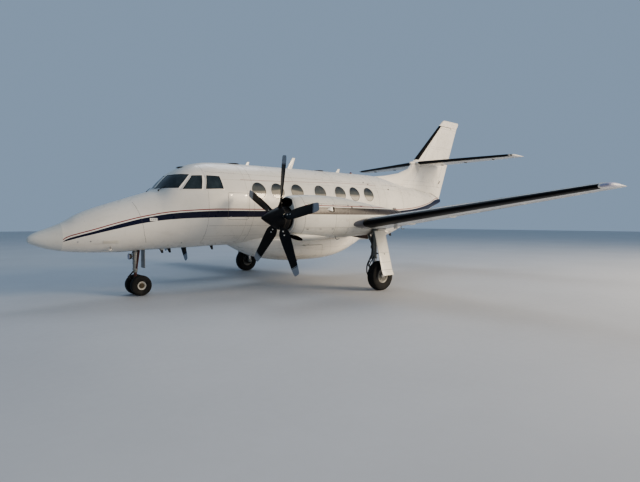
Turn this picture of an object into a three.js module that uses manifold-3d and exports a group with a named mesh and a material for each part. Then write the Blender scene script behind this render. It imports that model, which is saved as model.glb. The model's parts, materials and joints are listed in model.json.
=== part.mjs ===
// A nineteen-seat twin turboprop airliner, parked on its gear: low wing, cruciform tail, belly baggage pod.
// Millimetres. +X runs forward, +Y to port, +Z up.
// The origin is on the ground, midway between nose and tail.
import * as THREE from "three";
import { mergeVertices } from "three/addons/utils/BufferGeometryUtils.js";
import Module from "manifold-3d";

const wasm = await Module();
wasm.setup();

// Driving dimensions
const lengthOverall = 14370;
const wingSpan = 15850;
const tailSpan = 6600;
const heightOverall = 5370;
const noseX = lengthOverall / 2;
const seatGap = 0.3; // between pieces that touch
const movingGap = 6; // round a moving piece

// A station is a distance aft of the nose tip.
const atStation = (station) => noseX - station;

const mainAxle = { station: 6700, y: 2970, radius: 345 };
const noseAxle = { station: 2100, y: 165, radius: 222 };
const propeller = { station: 4117, y: 2514, z: 1685, radius: 1287, blades: 5, firstBladeDeg: 8.5 };

// Materials
const paint = (color, roughness = 0.35, metalness = 0) =>
  new THREE.MeshStandardMaterial({ color, roughness, metalness });
const materials = {
  white: paint(0xd9d4c8),
  radome: paint(0xc2bfb5, 0.55),
  grey: paint(0x8d9096, 0.4, 0.6),
  boot: paint(0x14181f, 0.5),
  blade: paint(0x15181b, 0.45),
  spinner: paint(0x121416, 0.3),
  glass: paint(0x1b2430, 0.08),
  tyre: paint(0x1a1a1a, 0.9),
  rim: paint(0xc8c4b8, 0.4, 0.3),
  leg: paint(0x9a9d9b, 0.4, 0.5),
  steel: paint(0x6b6a68, 0.35, 0.9),
};

// Solids: three.js shapes make them, manifold-3d joins and cuts them.
function solid(geometry) {
  const bare = new THREE.BufferGeometry().setAttribute("position", geometry.getAttribute("position"));
  if (geometry.index) bare.setIndex(geometry.index);
  const merged = mergeVertices(bare, 1e-3);
  return new wasm.Manifold(
    new wasm.Mesh({
      numProp: 3,
      vertProperties: new Float32Array(merged.attributes.position.array),
      triVerts: new Uint32Array(merged.index.array),
    }),
  );
}

function geometryOf(made) {
  const mesh = made.getMesh();
  const positions = new Float32Array(mesh.numVert * 3);
  for (let i = 0; i < mesh.numVert; i++) {
    positions.set(mesh.vertProperties.subarray(i * mesh.numProp, i * mesh.numProp + 3), i * 3);
  }
  const geometry = new THREE.BufferGeometry();
  geometry.setAttribute("position", new THREE.BufferAttribute(positions, 3));
  geometry.setIndex(new THREE.BufferAttribute(new Uint32Array(mesh.triVerts), 1));
  return geometry;
}

const placed = (geometry, matrix) => solid(geometry.clone().applyMatrix4(matrix));

function box(low, high) {
  const size = high.map((value, i) => value - low[i]);
  const middle = high.map((value, i) => (value + low[i]) / 2);
  return placed(new THREE.BoxGeometry(...size), new THREE.Matrix4().makeTranslation(...middle));
}

// A cylinder or cone between two points.
function rod(from, to, radiusFrom, radiusTo = radiusFrom, sides = 16) {
  const a = new THREE.Vector3(...from);
  const b = new THREE.Vector3(...to);
  const axis = b.clone().sub(a);
  const geometry = new THREE.CylinderGeometry(radiusTo, radiusFrom, axis.length(), sides);
  const turn = new THREE.Quaternion().setFromUnitVectors(
    new THREE.Vector3(0, 1, 0),
    axis.clone().normalize(),
  );
  const middle = a.add(b).multiplyScalar(0.5);
  return placed(geometry, new THREE.Matrix4().compose(middle, turn, new THREE.Vector3(1, 1, 1)));
}

// The radius of a hole that a rod of this radius turns in, both with flat facets.
const runningFit = 0.2;
const boreFor = (radius, sides) => (radius + runningFit) / Math.cos(Math.PI / sides);

// A plate whose outline is drawn in a plane: side view gives [x, z] points, front view gives [y, z] points.
function prism(points, from, to, view = "side") {
  const shape = new THREE.Shape(points.map(([u, v]) => new THREE.Vector2(u, v)));
  const geometry = new THREE.ExtrudeGeometry(shape, { depth: to - from, bevelEnabled: false });
  const [across, out, start] = {
    side: [[1, 0, 0], [0, -1, 0], [0, to, 0]],
    front: [[0, 1, 0], [1, 0, 0], [from, 0, 0]],
  }[view].map((values) => new THREE.Vector3(...values));
  const matrix = new THREE.Matrix4().makeBasis(across, new THREE.Vector3(0, 0, 1), out);
  return placed(geometry, matrix.setPosition(start));
}

// A body of revolution about a line along `axis`, from [distance along it, radius] points.
function turned(profile, centre, axis, sides = 32) {
  const points = profile.map(([along, radius]) => new THREE.Vector2(radius, along));
  const geometry = new THREE.LatheGeometry(points, sides);
  const turn = new THREE.Quaternion().setFromUnitVectors(
    new THREE.Vector3(0, 1, 0),
    new THREE.Vector3(...axis),
  );
  const matrix = new THREE.Matrix4().compose(
    new THREE.Vector3(...centre),
    turn,
    new THREE.Vector3(1, 1, 1),
  );
  const made = placed(geometry, matrix);
  if (made.volume() > 0) return made;
  geometry.index.array.reverse();
  return placed(geometry, matrix);
}

// A skin through rings with equal numbers of points, closed by a fan at each end.
function loft(rings) {
  const count = rings[0].length;
  const points = rings.flat();
  const faces = [];
  for (let i = 0; i + 1 < rings.length; i++) {
    for (let j = 0; j < count; j++) {
      const k = (j + 1) % count;
      const [a, b, c, d] = [i * count + j, i * count + k, (i + 1) * count + k, (i + 1) * count + j];
      // The diagonals mirror each other, so that both sides of the aircraft have the same facets.
      if (points[a].y + points[c].y < 0) faces.push(b, c, d, b, d, a);
      else faces.push(a, b, c, a, c, d);
    }
  }
  for (const [ring, flip] of [[0, true], [rings.length - 1, false]]) {
    const middle = rings[ring].reduce((sum, p) => sum.add(p), new THREE.Vector3());
    const hub = points.push(middle.divideScalar(count)) - 1;
    for (let j = 0; j < count; j++) {
      const a = ring * count + j;
      const b = ring * count + ((j + 1) % count);
      faces.push(...(flip ? [hub, b, a] : [hub, a, b]));
    }
  }
  const build = () => {
    const geometry = new THREE.BufferGeometry().setFromPoints(points);
    geometry.setIndex(faces);
    return solid(geometry);
  };
  const made = build();
  if (made.volume() > 0) return made;
  faces.reverse();
  return build();
}

const together = (solids) => solids.reduce((all, one) => all.add(one));

// Fuselage: each row is station, top, bottom, height of the widest line, half width, and fullness
// of the upper half.
const fuselageRows = [
  [0, 1296, 1244, 1270, 26, 2],
  [30, 1338, 1200, 1270, 78, 2],
  [120, 1392, 1156, 1272, 140, 2],
  [320, 1474, 1080, 1286, 222, 2],
  [600, 1594, 1022, 1322, 310, 2],
  [840, 1744, 992, 1366, 380, 2],
  [1050, 1842, 978, 1408, 440, 2],
  [1690, 2068, 962, 1516, 592, 2],
  [2270, 2258, 990, 1622, 716, 2.1],
  [2400, 2300, 992, 1646, 742, 2.2],
  [2500, 2368, 994, 1670, 762, 2.35],
  [2620, 2512, 998, 1698, 785, 2.4],
  [2760, 2652, 1000, 1732, 808, 2.45],
  [3040, 2844, 1006, 1812, 862, 2.35],
  [3320, 2956, 1010, 1894, 912, 2.2],
  [3700, 3024, 1026, 1976, 960, 2.1],
  [4300, 3050, 1038, 2037, 992, 2],
  [9000, 3074, 1046, 2050, 992, 2],
  [9400, 3064, 1050, 2054, 980, 2],
  [9750, 3018, 1086, 2075, 945, 2],
  [10150, 2940, 1200, 2110, 885, 2],
  [10650, 2844, 1382, 2170, 790, 2],
  [11300, 2778, 1620, 2240, 635, 2],
  [12100, 2688, 1920, 2330, 395, 2],
  [12700, 2605, 2140, 2380, 205, 2],
  [13190, 2455, 2315, 2390, 55, 2],
];
const fuselageSides = 32;

const blunt = (value, fullness) => Math.sign(value) * Math.abs(value) ** (2 / fullness);

function fuselageRing([station, top, bottom, widest, halfWidth, fullness], grow) {
  return Array.from({ length: fuselageSides }, (_, i) => {
    const angle = (2 * Math.PI * i) / fuselageSides;
    const [across, up] = [Math.cos(angle), Math.sin(angle)];
    const height = up >= 0 ? top + grow - widest : widest - bottom + grow;
    const shape = up >= 0 ? fullness : 2;
    return new THREE.Vector3(
      atStation(station),
      (halfWidth + grow) * blunt(across, shape),
      widest + height * blunt(up, shape),
    );
  });
}

function fuselageSolid(grow = 0) {
  const rings = fuselageRows.map((row) => fuselageRing(row, Math.max(grow, 0.9 - row[4])));
  if (grow < 0) return loft(rings.filter((_, i) => fuselageRows[i][4] > -2 * grow));
  return loft(rings);
}

// The half width of the fuselage at a station and height.
function fuselageHalfWidth(station, z) {
  const next = fuselageRows.findIndex((row) => row[0] >= station);
  const [a, b] = [fuselageRows[Math.max(next - 1, 0)], fuselageRows[next]];
  const share = b[0] === a[0] ? 0 : (station - a[0]) / (b[0] - a[0]);
  const [, top, bottom, widest, halfWidth, fullness] = a.map((value, i) => value + share * (b[i] - value));
  const reach = z > widest ? top - widest : widest - bottom;
  const shape = z > widest ? fullness : 2;
  return halfWidth * Math.max(0, 1 - (Math.abs(z - widest) / reach) ** shape) ** (1 / shape);
}

// Belly pod: station, bottom, half width. Its roof is inside the fuselage.
const podRows = [
  [4330, 1030, 120],
  [4500, 965, 330],
  [4760, 850, 500],
  [5150, 700, 600],
  [5600, 605, 640],
  [6200, 562, 650],
  [6850, 566, 650],
  [7400, 616, 640],
  [7800, 706, 600],
  [8250, 862, 500],
  [8650, 1005, 350],
  [9000, 1120, 120],
];
const podTop = 1350;
const podShoulder = 3.2; // exponent of the rounded-box section

function podRing([station, bottom, halfWidth], grow) {
  const sides = 24;
  const height = (podTop - bottom) / 2 + grow;
  const middle = (podTop + bottom) / 2;
  return Array.from({ length: sides }, (_, i) => {
    const angle = (2 * Math.PI * (i + 0.5)) / sides;
    return new THREE.Vector3(
      atStation(station),
      (halfWidth + grow) * blunt(Math.cos(angle), podShoulder),
      middle + height * blunt(Math.sin(angle), podShoulder),
    );
  });
}

const podSolid = (grow = 0) => loft(podRows.map((row) => podRing(row, grow)));

// Airfoil ordinates, chord 1: from the trailing edge over the top to the leading edge and back underneath.
function airfoil(thickness, camber, steps = 9) {
  const surface = (x) =>
    5 * thickness * (0.2969 * Math.sqrt(x) - x * (0.126 + x * (0.3516 - x * (0.2843 - x * 0.1015))));
  const crest = 0.4;
  const mean = (x) =>
    x < crest
      ? (camber / crest ** 2) * (2 * crest * x - x ** 2)
      : (camber / (1 - crest) ** 2) * (1 - 2 * crest + 2 * crest * x - x ** 2);
  const xs = Array.from({ length: steps + 1 }, (_, i) => (1 + Math.cos((Math.PI * i) / steps)) / 2);
  const upper = xs.map((x) => [x, mean(x) + surface(x)]);
  const lower = xs.slice(0, -1).reverse().map((x) => [x, mean(x) - surface(x)]);
  return [...upper, ...lower];
}

// Wing: port half. Values at the centreline and at the tip.
const wing = {
  leadingRoot: 5890,
  leadingTip: 6330,
  chordRoot: 2200,
  chordTip: 800,
  zRoot: 1205,
  dihedralDeg: 7,
  twistRootDeg: 2,
  twistTipDeg: 0,
  thicknessRoot: 0.18,
  thicknessTip: 0.12,
  camber: 0.02,
};
const halfSpan = wingSpan / 2;

function wingAt(y) {
  const share = y / halfSpan;
  const mix = (a, b) => a + (b - a) * share;
  return {
    leading: mix(wing.leadingRoot, wing.leadingTip),
    chord: mix(wing.chordRoot, wing.chordTip),
    z: wing.zRoot + y * Math.tan(THREE.MathUtils.degToRad(wing.dihedralDeg)),
    twist: THREE.MathUtils.degToRad(mix(wing.twistRootDeg, wing.twistTipDeg)),
    thickness: mix(wing.thicknessRoot, wing.thicknessTip),
  };
}

// A point on the wing: y, share of the chord, share of the chord above the chord line.
function wingPoint(y, along, above) {
  const { leading, chord, z, twist } = wingAt(y);
  const back = chord * (along * Math.cos(twist) + above * Math.sin(twist));
  const up = chord * (above * Math.cos(twist) - along * Math.sin(twist));
  return new THREE.Vector3(atStation(leading + back), y, z + up);
}

function wingRing(y, grow = 0, squash = 1, shrink = 1) {
  const { thickness, chord } = wingAt(y);
  return airfoil(thickness * squash, wing.camber * squash).map(([along, above], i, all) => {
    const side = i < all.length / 2 ? 1 : -1;
    const edge = along < 0.02 ? -grow / chord : along > 0.98 ? grow / chord : 0;
    const inward = 0.45 + (along - 0.45) * shrink;
    return wingPoint(y, inward + edge, above + (side * grow) / chord);
  });
}

// The rounded tip: y, share of the thickness, share of the chord.
const tipRows = [
  [halfSpan - 190, 1, 1],
  [halfSpan - 70, 0.8, 0.97],
  [halfSpan - 16, 0.5, 0.9],
  [halfSpan, 0.2, 0.82],
];
const wingSolid = (grow = 0) =>
  loft([
    wingRing(2, grow),
    wingRing(2514, grow),
    ...tipRows.map(([y, squash, shrink]) => wingRing(y, grow, squash, shrink)),
  ]);

// Fin and tailplane rows: leading station, chord, thickness share, at z or y.
const finTop = heightOverall;
const finRows = [
  [2450, 10330, 2830, 0.085],
  [3790, 11720, 1975, 0.1],
  [5134, 13150, 1105, 0.1],
  [finTop - 60, 13345, 1025, 0.095],
  [finTop - 12, 13420, 945, 0.07],
  [finTop, 13480, 870, 0.03],
];

function plainRing(leading, chord, thickness, grow, place) {
  return airfoil(thickness, 0).map(([along, above], i, all) => {
    const side = i < all.length / 2 ? 1 : -1;
    const edge = along < 0.02 ? -grow : along > 0.98 ? grow : 0;
    return place(atStation(leading + along * chord + edge), above * chord + side * grow);
  });
}

// The dorsal fin: station, top height, half thickness at its foot.
const dorsalRows = [
  [9500, 3045, 6],
  [10200, 3125, 34],
  [10850, 3250, 56],
  [11350, 3430, 74],
  [11760, 3830, 84],
];

function dorsalSolid(grow = 0) {
  const foot = 2500;
  return loft(
    dorsalRows.map(([station, crest, thin]) => {
      const top = crest + grow;
      const half = thin + grow;
      const section = [
        [half * 1.6, foot],
        [half, top - 90],
        [half * 0.45, top - 14],
        [0, top],
        [-half * 0.45, top - 14],
        [-half, top - 90],
        [-half * 1.6, foot],
      ];
      return section.map(([y, z]) => new THREE.Vector3(atStation(station), y, z));
    }),
  );
}

const finSolid = (grow = 0) =>
  loft(
    finRows.map(([z, leading, chord, thickness]) =>
      plainRing(leading, chord, thickness, grow, (x, y) => new THREE.Vector3(x, y, z)),
    ),
  );

const tailplane = { z: 3655, leadingRoot: 11650, leadingTip: 12290, trailing: 13060, thickness: 0.11 };
const tailHalfSpan = tailSpan / 2;
// The tailplane's rounded tip: y, share of the thickness, how far the leading edge is cut back.
const tailTips = [
  [tailHalfSpan - 130, 1, 0],
  [tailHalfSpan - 45, 0.8, 18],
  [tailHalfSpan - 8, 0.5, 60],
  [tailHalfSpan, 0.2, 100],
];

const tailLeading = (y) =>
  THREE.MathUtils.mapLinear(y, 0, tailHalfSpan, tailplane.leadingRoot, tailplane.leadingTip);

function tailRing(y, grow, squash = 1, inset = 0) {
  const leading = tailLeading(y) + inset;
  const chord = tailplane.trailing - inset / 2 - leading;
  return plainRing(leading, chord, tailplane.thickness * squash, grow, (x, z) =>
    new THREE.Vector3(x, y, tailplane.z + z),
  );
}

const tailSolid = (grow = 0) =>
  loft([tailRing(0, grow), ...tailTips.map(([y, squash, inset]) => tailRing(y, grow, squash, inset))]);

// A control surface hinged on a line: `from` and `to` are ends of the hinge, `radii` the nose radius
// at each end. `up` points out of the surface, and `pins` says which ends have a hinge pin. Returns the
// piece, what has to be cut from the fixed surface round it, and the pins that are fixed to that.
const pinRadius = 8;
const pinSides = 12;

function hingedSurface(whole, { from, to, radii, up, swing, beyond = 0, pins = [true, true] }) {
  const axis = to.clone().sub(from);
  const span = axis.length();
  axis.normalize();
  const forward = new THREE.Vector3().crossVectors(axis, up).normalize();
  if (forward.x < 0) forward.negate();
  const normal = new THREE.Vector3().crossVectors(forward, axis).normalize();
  const frame = new THREE.Matrix4().makeBasis(forward, axis, normal).setPosition(from);
  const reach = 1600;
  const slab = (ahead, end) => {
    const geometry = new THREE.BoxGeometry(reach + ahead, span + 2 * end + beyond, 1200);
    geometry.translate((ahead - reach) / 2, (span + beyond) / 2, 0);
    if (frame.determinant() < 0) throw new Error("left-handed hinge frame");
    return placed(geometry, frame);
  };
  const cone = (grow, end) => {
    const slope = (radii[1] - radii[0]) / span;
    const geometry = new THREE.CylinderGeometry(
      radii[1] + grow + slope * end,
      radii[0] + grow - slope * end,
      span + 2 * end,
      24,
    );
    geometry.translate(0, span / 2, 0);
    return placed(geometry, frame);
  };
  const lip = Math.max(...radii) * Math.tan(THREE.MathUtils.degToRad(swing / 2)) + movingGap;
  const pin = (at, outward, radius, deep) => {
    const ends = [28, -deep].map((distance) => at.clone().addScaledVector(axis, distance * outward));
    return rod(ends[0].toArray(), ends[1].toArray(), radius, radius, pinSides);
  };
  const ends = [[from, -1], [to, 1]].filter((_, i) => pins[i]);
  return {
    piece: whole
      .intersect(slab(0, 0).add(cone(0, 0)))
      .subtract(together(ends.map(([at, outward]) => pin(at, outward, boreFor(pinRadius, pinSides), 33)))),
    cutter: slab(lip, movingGap).add(cone(movingGap, movingGap)),
    pins: together(ends.map(([at, outward]) => pin(at, outward, pinRadius, 32))),
  };
}

const upward = new THREE.Vector3(0, 0, 1);

// The flap's hinge is just above its lower skin, the aileron's at mid thickness.
const lowHinge = 20;

function wingHinge(y, share, low) {
  const { thickness } = wingAt(y);
  const steps = airfoil(thickness, wing.camber, 60);
  const near = (list) => list.reduce((a, b) => (Math.abs(b[0] - share) < Math.abs(a[0] - share) ? b : a));
  const top = near(steps.slice(0, 60))[1];
  const bottom = near(steps.slice(61))[1];
  const chord = wingAt(y).chord;
  const above = low ? bottom + lowHinge / chord : (top + bottom) / 2;
  return { point: wingPoint(y, share, above), radius: chord * (top - above) };
}

const flap = { inner: 1060, outer: 4900, share: 0.74, maxDeg: 50 };
const aileron = { inner: 4960, outer: 7560, share: 0.76, swing: 25 };

function wingSurface(whole, { inner, outer, share, swing = 0 }, low) {
  const a = wingHinge(inner, share, low);
  const b = wingHinge(outer, share, low);
  const radii = [a.radius, b.radius];
  return hingedSurface(whole, { from: a.point, to: b.point, radii, up: upward, swing });
}

const elevator = { inner: 165, outer: 3150, station: 12560, swing: 25 };
const rudder = { footStation: 12520, footZ: 2668, headStation: 13810, headZ: 5047, hornZ: 5125, swing: 25 };

function elevatorSurface(whole) {
  const radiusAt = (y) => {
    const chord = tailplane.trailing - tailLeading(y);
    const share = (elevator.station - tailLeading(y)) / chord;
    const steps = airfoil(tailplane.thickness, 0, 60).slice(0, 60);
    return chord * steps.reduce((a, b) => (Math.abs(b[0] - share) < Math.abs(a[0] - share) ? b : a))[1];
  };
  const end = (y) => new THREE.Vector3(atStation(elevator.station), y, tailplane.z);
  return hingedSurface(whole, {
    from: end(elevator.inner),
    to: end(elevator.outer),
    radii: [radiusAt(elevator.inner), radiusAt(elevator.outer)],
    up: upward,
    swing: elevator.swing,
    pins: [false, true],
  });
}

// Nacelle: station, top, bottom, half width, about the propeller's y.
const nacelleRows = [
  [4290, 2120, 1392, 292],
  [4345, 2150, 1370, 325],
  [4560, 2176, 1310, 368],
  [5000, 2190, 1262, 392],
  [5700, 2170, 1256, 396],
  [6300, 2092, 1272, 386],
  [6900, 2008, 1310, 345],
  [7400, 1945, 1400, 285],
  [7850, 1900, 1560, 205],
];
const cowlShoulder = 2.35;
const engine = { front: 4345, back: 5450, radius: 250, shaftRadius: 55, shaftDepth: 90 };
const exhaust = { front: 6330, back: 6930, y: 2330, frontZ: 1370, backZ: 1285, outer: 105, wall: 9 };

function nacelleRing([station, top, bottom, halfWidth], grow) {
  const sides = 24;
  return Array.from({ length: sides }, (_, i) => {
    const angle = (2 * Math.PI * i) / sides;
    return new THREE.Vector3(
      atStation(station),
      propeller.y + (halfWidth + grow) * blunt(Math.cos(angle), cowlShoulder),
      (top + bottom) / 2 + ((top - bottom) / 2 + grow) * blunt(Math.sin(angle), cowlShoulder),
    );
  });
}

const nacelleSolid = (grow = 0) => loft(nacelleRows.map((row) => nacelleRing(row, grow)));

// Doors: side-view outline corners as [station, z].
const outline = (corners) => corners.map(([station, z]) => [atStation(station), z]);
const cockpitPanes = {
  windscreen: [[2380, 2334], [2760, 2337], [3059, 2661], [2600, 2652]],
  direct_vision_window: [[2823, 2314], [3233, 2329], [3312, 2649], [3090, 2632]],
  rear_cockpit_window: [[3316, 2332], [3734, 2353], [3700, 2643], [3402, 2650]],
};
const paneThickness = 20;
const screenPost = 50; // half width of the post between the windscreens

const passengerDoor = { front: 9180, back: 10040, sill: 1300, head: 2710, thickness: 60, swing: 125 };
const podDoor = { front: 5800, back: 6900, sill: 690, head: 975, thickness: 34, swing: 95 };

// Hinge knuckles outside the skin: the door's own between two of the body's, and lugs that carry them.
// `sign` is 1 where the door hangs above its hinge and -1 where it hangs below.
const passengerHinge = {
  y: 663,
  z: 1296,
  radius: 10,
  stations: [9340, 9410, 9530, 9600],
  reach: 70,
  sign: 1,
};
const podHinge = {
  y: 664,
  z: 979,
  radius: 8,
  stations: [6250, 6290, 6410, 6450],
  reach: 40,
  sign: -1,
};

function knuckles({ y, z, radius, stations, reach, sign }) {
  const xs = stations.map(atStation);
  const piece = (front, back, gap, side) => {
    const [high, low] = [xs[front] - gap, xs[back] + gap];
    const near = z + side * sign * 3;
    const far = z + side * sign * 30;
    return rod([low, y, z], [high, y, z], radius, radius, 12).add(
      box([low, y - reach, Math.min(near, far)], [high, y + 4, Math.max(near, far)]),
    );
  };
  return { door: piece(1, 2, 0, 1), body: [piece(0, 1, seatGap, -1), piece(2, 3, seatGap, -1)] };
}

// Grows a convex outline by moving each corner away from its middle.
function wider(points, by) {
  const middle = [0, 1].map((i) => points.reduce((sum, point) => sum + point[i] / points.length, 0));
  return points.map((point) => point.map((value, i) => value + Math.sign(value - middle[i]) * by));
}

const rectangle = ({ front, back, sill, head }) =>
  outline([[back, sill], [front, sill], [front, head], [back, head]]);

// Builds the fuselage with its radome, panes and door.
function buildFuselage() {
  const whole = fuselageSolid();
  const radomeStation = 565;
  const ahead = (station) => box([atStation(station), -1500, 500], [atStation(-100), 1500, 3500]);
  const pieces = {};
  pieces.radome = whole.intersect(ahead(radomeStation - seatGap));
  let body = whole.subtract(ahead(radomeStation));

  const shell = whole.subtract(fuselageSolid(-paneThickness));
  const behindPanes = fuselageSolid(-paneThickness - 1);
  for (const [name, corners] of Object.entries(cockpitPanes)) {
    const inner = name === "windscreen" ? screenPost : 100;
    const points = outline(corners);
    const pane = shell.intersect(prism(points, inner, 1500));
    const cut = prism(wider(points, 3), inner - 3, 1500).subtract(behindPanes);
    pieces[`port_${name}`] = pane;
    pieces[`starboard_${name}`] = mirrored(pane);
    body = body.subtract(cut).subtract(mirrored(cut));
  }

  const doorShell = whole.subtract(fuselageSolid(-passengerDoor.thickness));
  const opening = rectangle(passengerDoor);
  const vestibule = box(
    [atStation(passengerDoor.back) - 60, -420, passengerDoor.sill],
    [atStation(passengerDoor.front) + 60, 900, passengerDoor.head + 60],
  );
  body = body
    .subtract(prism(wider(opening, movingGap + 1), 300, 1500))
    .subtract(vestibule.intersect(fuselageSolid(-passengerDoor.thickness - movingGap)));
  const treadCount = 4;
  const [lowestTread, highestTread] = [passengerDoor.sill + 230, passengerDoor.head - 330];
  const treads = Array.from({ length: treadCount }, (_, i) => {
    const z = THREE.MathUtils.mapLinear(i, 0, treadCount - 1, lowestTread, highestTread);
    const skin = fuselageHalfWidth((passengerDoor.front + passengerDoor.back) / 2, z);
    return box(
      [atStation(passengerDoor.back) + 130, skin - 250, z],
      [atStation(passengerDoor.front) - 130, skin - passengerDoor.thickness + 25, z + 30],
    );
  });
  const hinge = knuckles(passengerHinge);
  pieces.passenger_door = together([doorShell.intersect(prism(opening, 300, 1500)), ...treads, hinge.door]);
  pieces.fuselage = together([body, ...hinge.body]);
  return pieces;
}

function mirrored(made) {
  const geometry = geometryOf(made).applyMatrix4(new THREE.Matrix4().makeScale(1, -1, 1));
  const index = geometry.index.array;
  for (let i = 0; i < index.length; i += 3) [index[i + 1], index[i + 2]] = [index[i + 2], index[i + 1]];
  return solid(geometry);
}

// Builds the pod with its port baggage door and the hold behind it.
function buildPod() {
  const blocked = together([fuselageSolid(seatGap), wingSolid(seatGap), mirrored(wingSolid(seatGap))]);
  const whole = podSolid();
  const inside = podSolid(-podDoor.thickness - movingGap);
  const holdBeyond = 150; // past the door, fore and aft
  const hold = inside.intersect(
    box(
      [atStation(podDoor.back) - holdBeyond, -450, podDoor.sill - 20],
      [atStation(podDoor.front) + holdBeyond, 900, podDoor.head + 10],
    ),
  );
  const opening = rectangle(podDoor);
  const doorway = prism(wider(opening, movingGap + 1), 400, 1200);
  const shell = whole.subtract(blocked).subtract(hold).subtract(doorway);
  const skin = whole.subtract(podSolid(-podDoor.thickness));
  const hinge = knuckles(podHinge);
  return {
    belly_pod: together([shell, ...hinge.body]),
    pod_door: skin.intersect(prism(opening, 400, 1200)).add(hinge.door),
  };
}

// A slot in the underside that the main leg comes out of.
const legTop = { y: 2780, z: 1452 };
const legSlot = () =>
  box([atStation(mainAxle.station) - 120, 2480, 1150], [atStation(mainAxle.station) + 150, 2880, 1452]);

// Flat pads that a jack or a stand bears on: station, y, height of the face, how far up it goes, radius.
const wingJack = [6560, 3560, 1455, 1560, 45];
const noseJack = [2650, 0, 968, 1060, 45];

function jackPad(station, y, z, top, radius) {
  return rod([atStation(station), y, z], [atStation(station), y, top], radius, radius, 20);
}

// Builds the port wing with its flap, aileron, nacelle and exhaust.
function buildWing() {
  const whole = wingSolid().add(jackPad(...wingJack)).subtract(fuselageSolid(2 * seatGap));
  const flapParts = wingSurface(whole, flap, true);
  const aileronParts = wingSurface(whole, aileron, false);
  const hinge = wingHinge(propeller.y, flap.share, true).point;
  const behind = box([hinge.x - 1500, 1800, 900], [hinge.x + 200, 3300, 2500]);
  const overFlap = wingSolid(movingGap + 4).intersect(behind);
  const underFlap = box([hinge.x - 1500, 1800, 900], [hinge.x + 170, 3300, hinge.z + 60]);
  const bay = rod(
    [atStation(engine.front) + 200, propeller.y, propeller.z],
    [atStation(engine.back + seatGap), propeller.y, propeller.z],
    engine.radius + seatGap,
    undefined,
    24,
  );
  const { front, back, frontZ, backZ, outer, wall } = exhaust;
  const pipeAt = (station, z) => [atStation(station), exhaust.y, z];
  const socket = rod(pipeAt(front - 2, frontZ), pipeAt(back + 60, backZ - 8), outer + 1, undefined, 24);
  const cowl = nacelleSolid()
    .subtract(wingSolid(1))
    .subtract(wingSolid())
    .subtract(overFlap)
    .subtract(underFlap)
    .subtract(bay)
    .subtract(intakeDuct())
    .subtract(socket)
    .subtract(legSlot());
  const [deep, past] = [pipeAt(back - 400, backZ + 51), pipeAt(back + 80, backZ - 10)];
  const mouth = rod(deep, past, outer - wall, undefined, 24);
  const pipe = rod(pipeAt(front, frontZ), pipeAt(back, backZ), outer, undefined, 24)
    .subtract(mouth)
    .subtract(wingSolid(1));
  return {
    wing: together([
      whole.subtract(flapParts.cutter).subtract(aileronParts.cutter).subtract(legSlot()),
      flapParts.pins,
      aileronParts.pins,
    ]),
    flap: flapParts.piece,
    aileron: aileronParts.piece,
    nacelle: cowl,
    exhaust: pipe,
  };
}

// The flattened intake mouth above the spinner.
function intakeDuct() {
  const ring = (station, halfWidth, halfHeight, z) =>
    Array.from({ length: 16 }, (_, i) => {
      const angle = (2 * Math.PI * i) / 16;
      return new THREE.Vector3(
        atStation(station),
        propeller.y + halfWidth * Math.cos(angle),
        z + halfHeight * Math.sin(angle),
      );
    });
  return loft([ring(4250, 205, 92, 2010), ring(4330, 190, 80, 2012), ring(4640, 170, 66, 1985)]);
}

function buildEngine() {
  const at = (station) => [atStation(station), propeller.y, propeller.z];
  const block = rod(at(engine.front), at(engine.back), engine.radius, undefined, 24);
  const boreRadius = boreFor(engine.shaftRadius, 24);
  const bore = rod(at(engine.front - 10), at(engine.front + engine.shaftDepth), boreRadius, undefined, 24);
  return block.subtract(bore);
}

// One blade, standing on the hub: radius, chord, thickness, pitch from the disc plane.
const bladeRows = [
  [130, 108, 104, 40],
  [250, 112, 98, 40],
  [300, 184, 62, 36],
  [430, 240, 40, 29],
  [640, 232, 28, 21],
  [900, 208, 20, 14],
  [1180, 182, 13, 7],
  [1262, 152, 9, 5],
  [propeller.radius, 96, 5, 4],
];
const spinner = { tip: 3664, back: 4262, radius: 242, hubFront: 3990, hubRadius: 150 };

function blade() {
  const sides = 8;
  return loft(
    bladeRows.map(([radius, chord, thickness, pitchDeg]) => {
      const pitch = THREE.MathUtils.degToRad(pitchDeg);
      return Array.from({ length: sides }, (_, i) => {
        const angle = (2 * Math.PI * i) / sides;
        const along = (chord / 2) * Math.cos(angle);
        const across = (thickness / 2) * Math.sin(angle);
        // The leading edge goes first when the propeller turns clockwise seen from ahead.
        return new THREE.Vector3(
          along * Math.sin(pitch) + across * Math.cos(pitch),
          along * Math.cos(pitch) - across * Math.sin(pitch),
          radius,
        );
      });
    }),
  );
}

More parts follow.
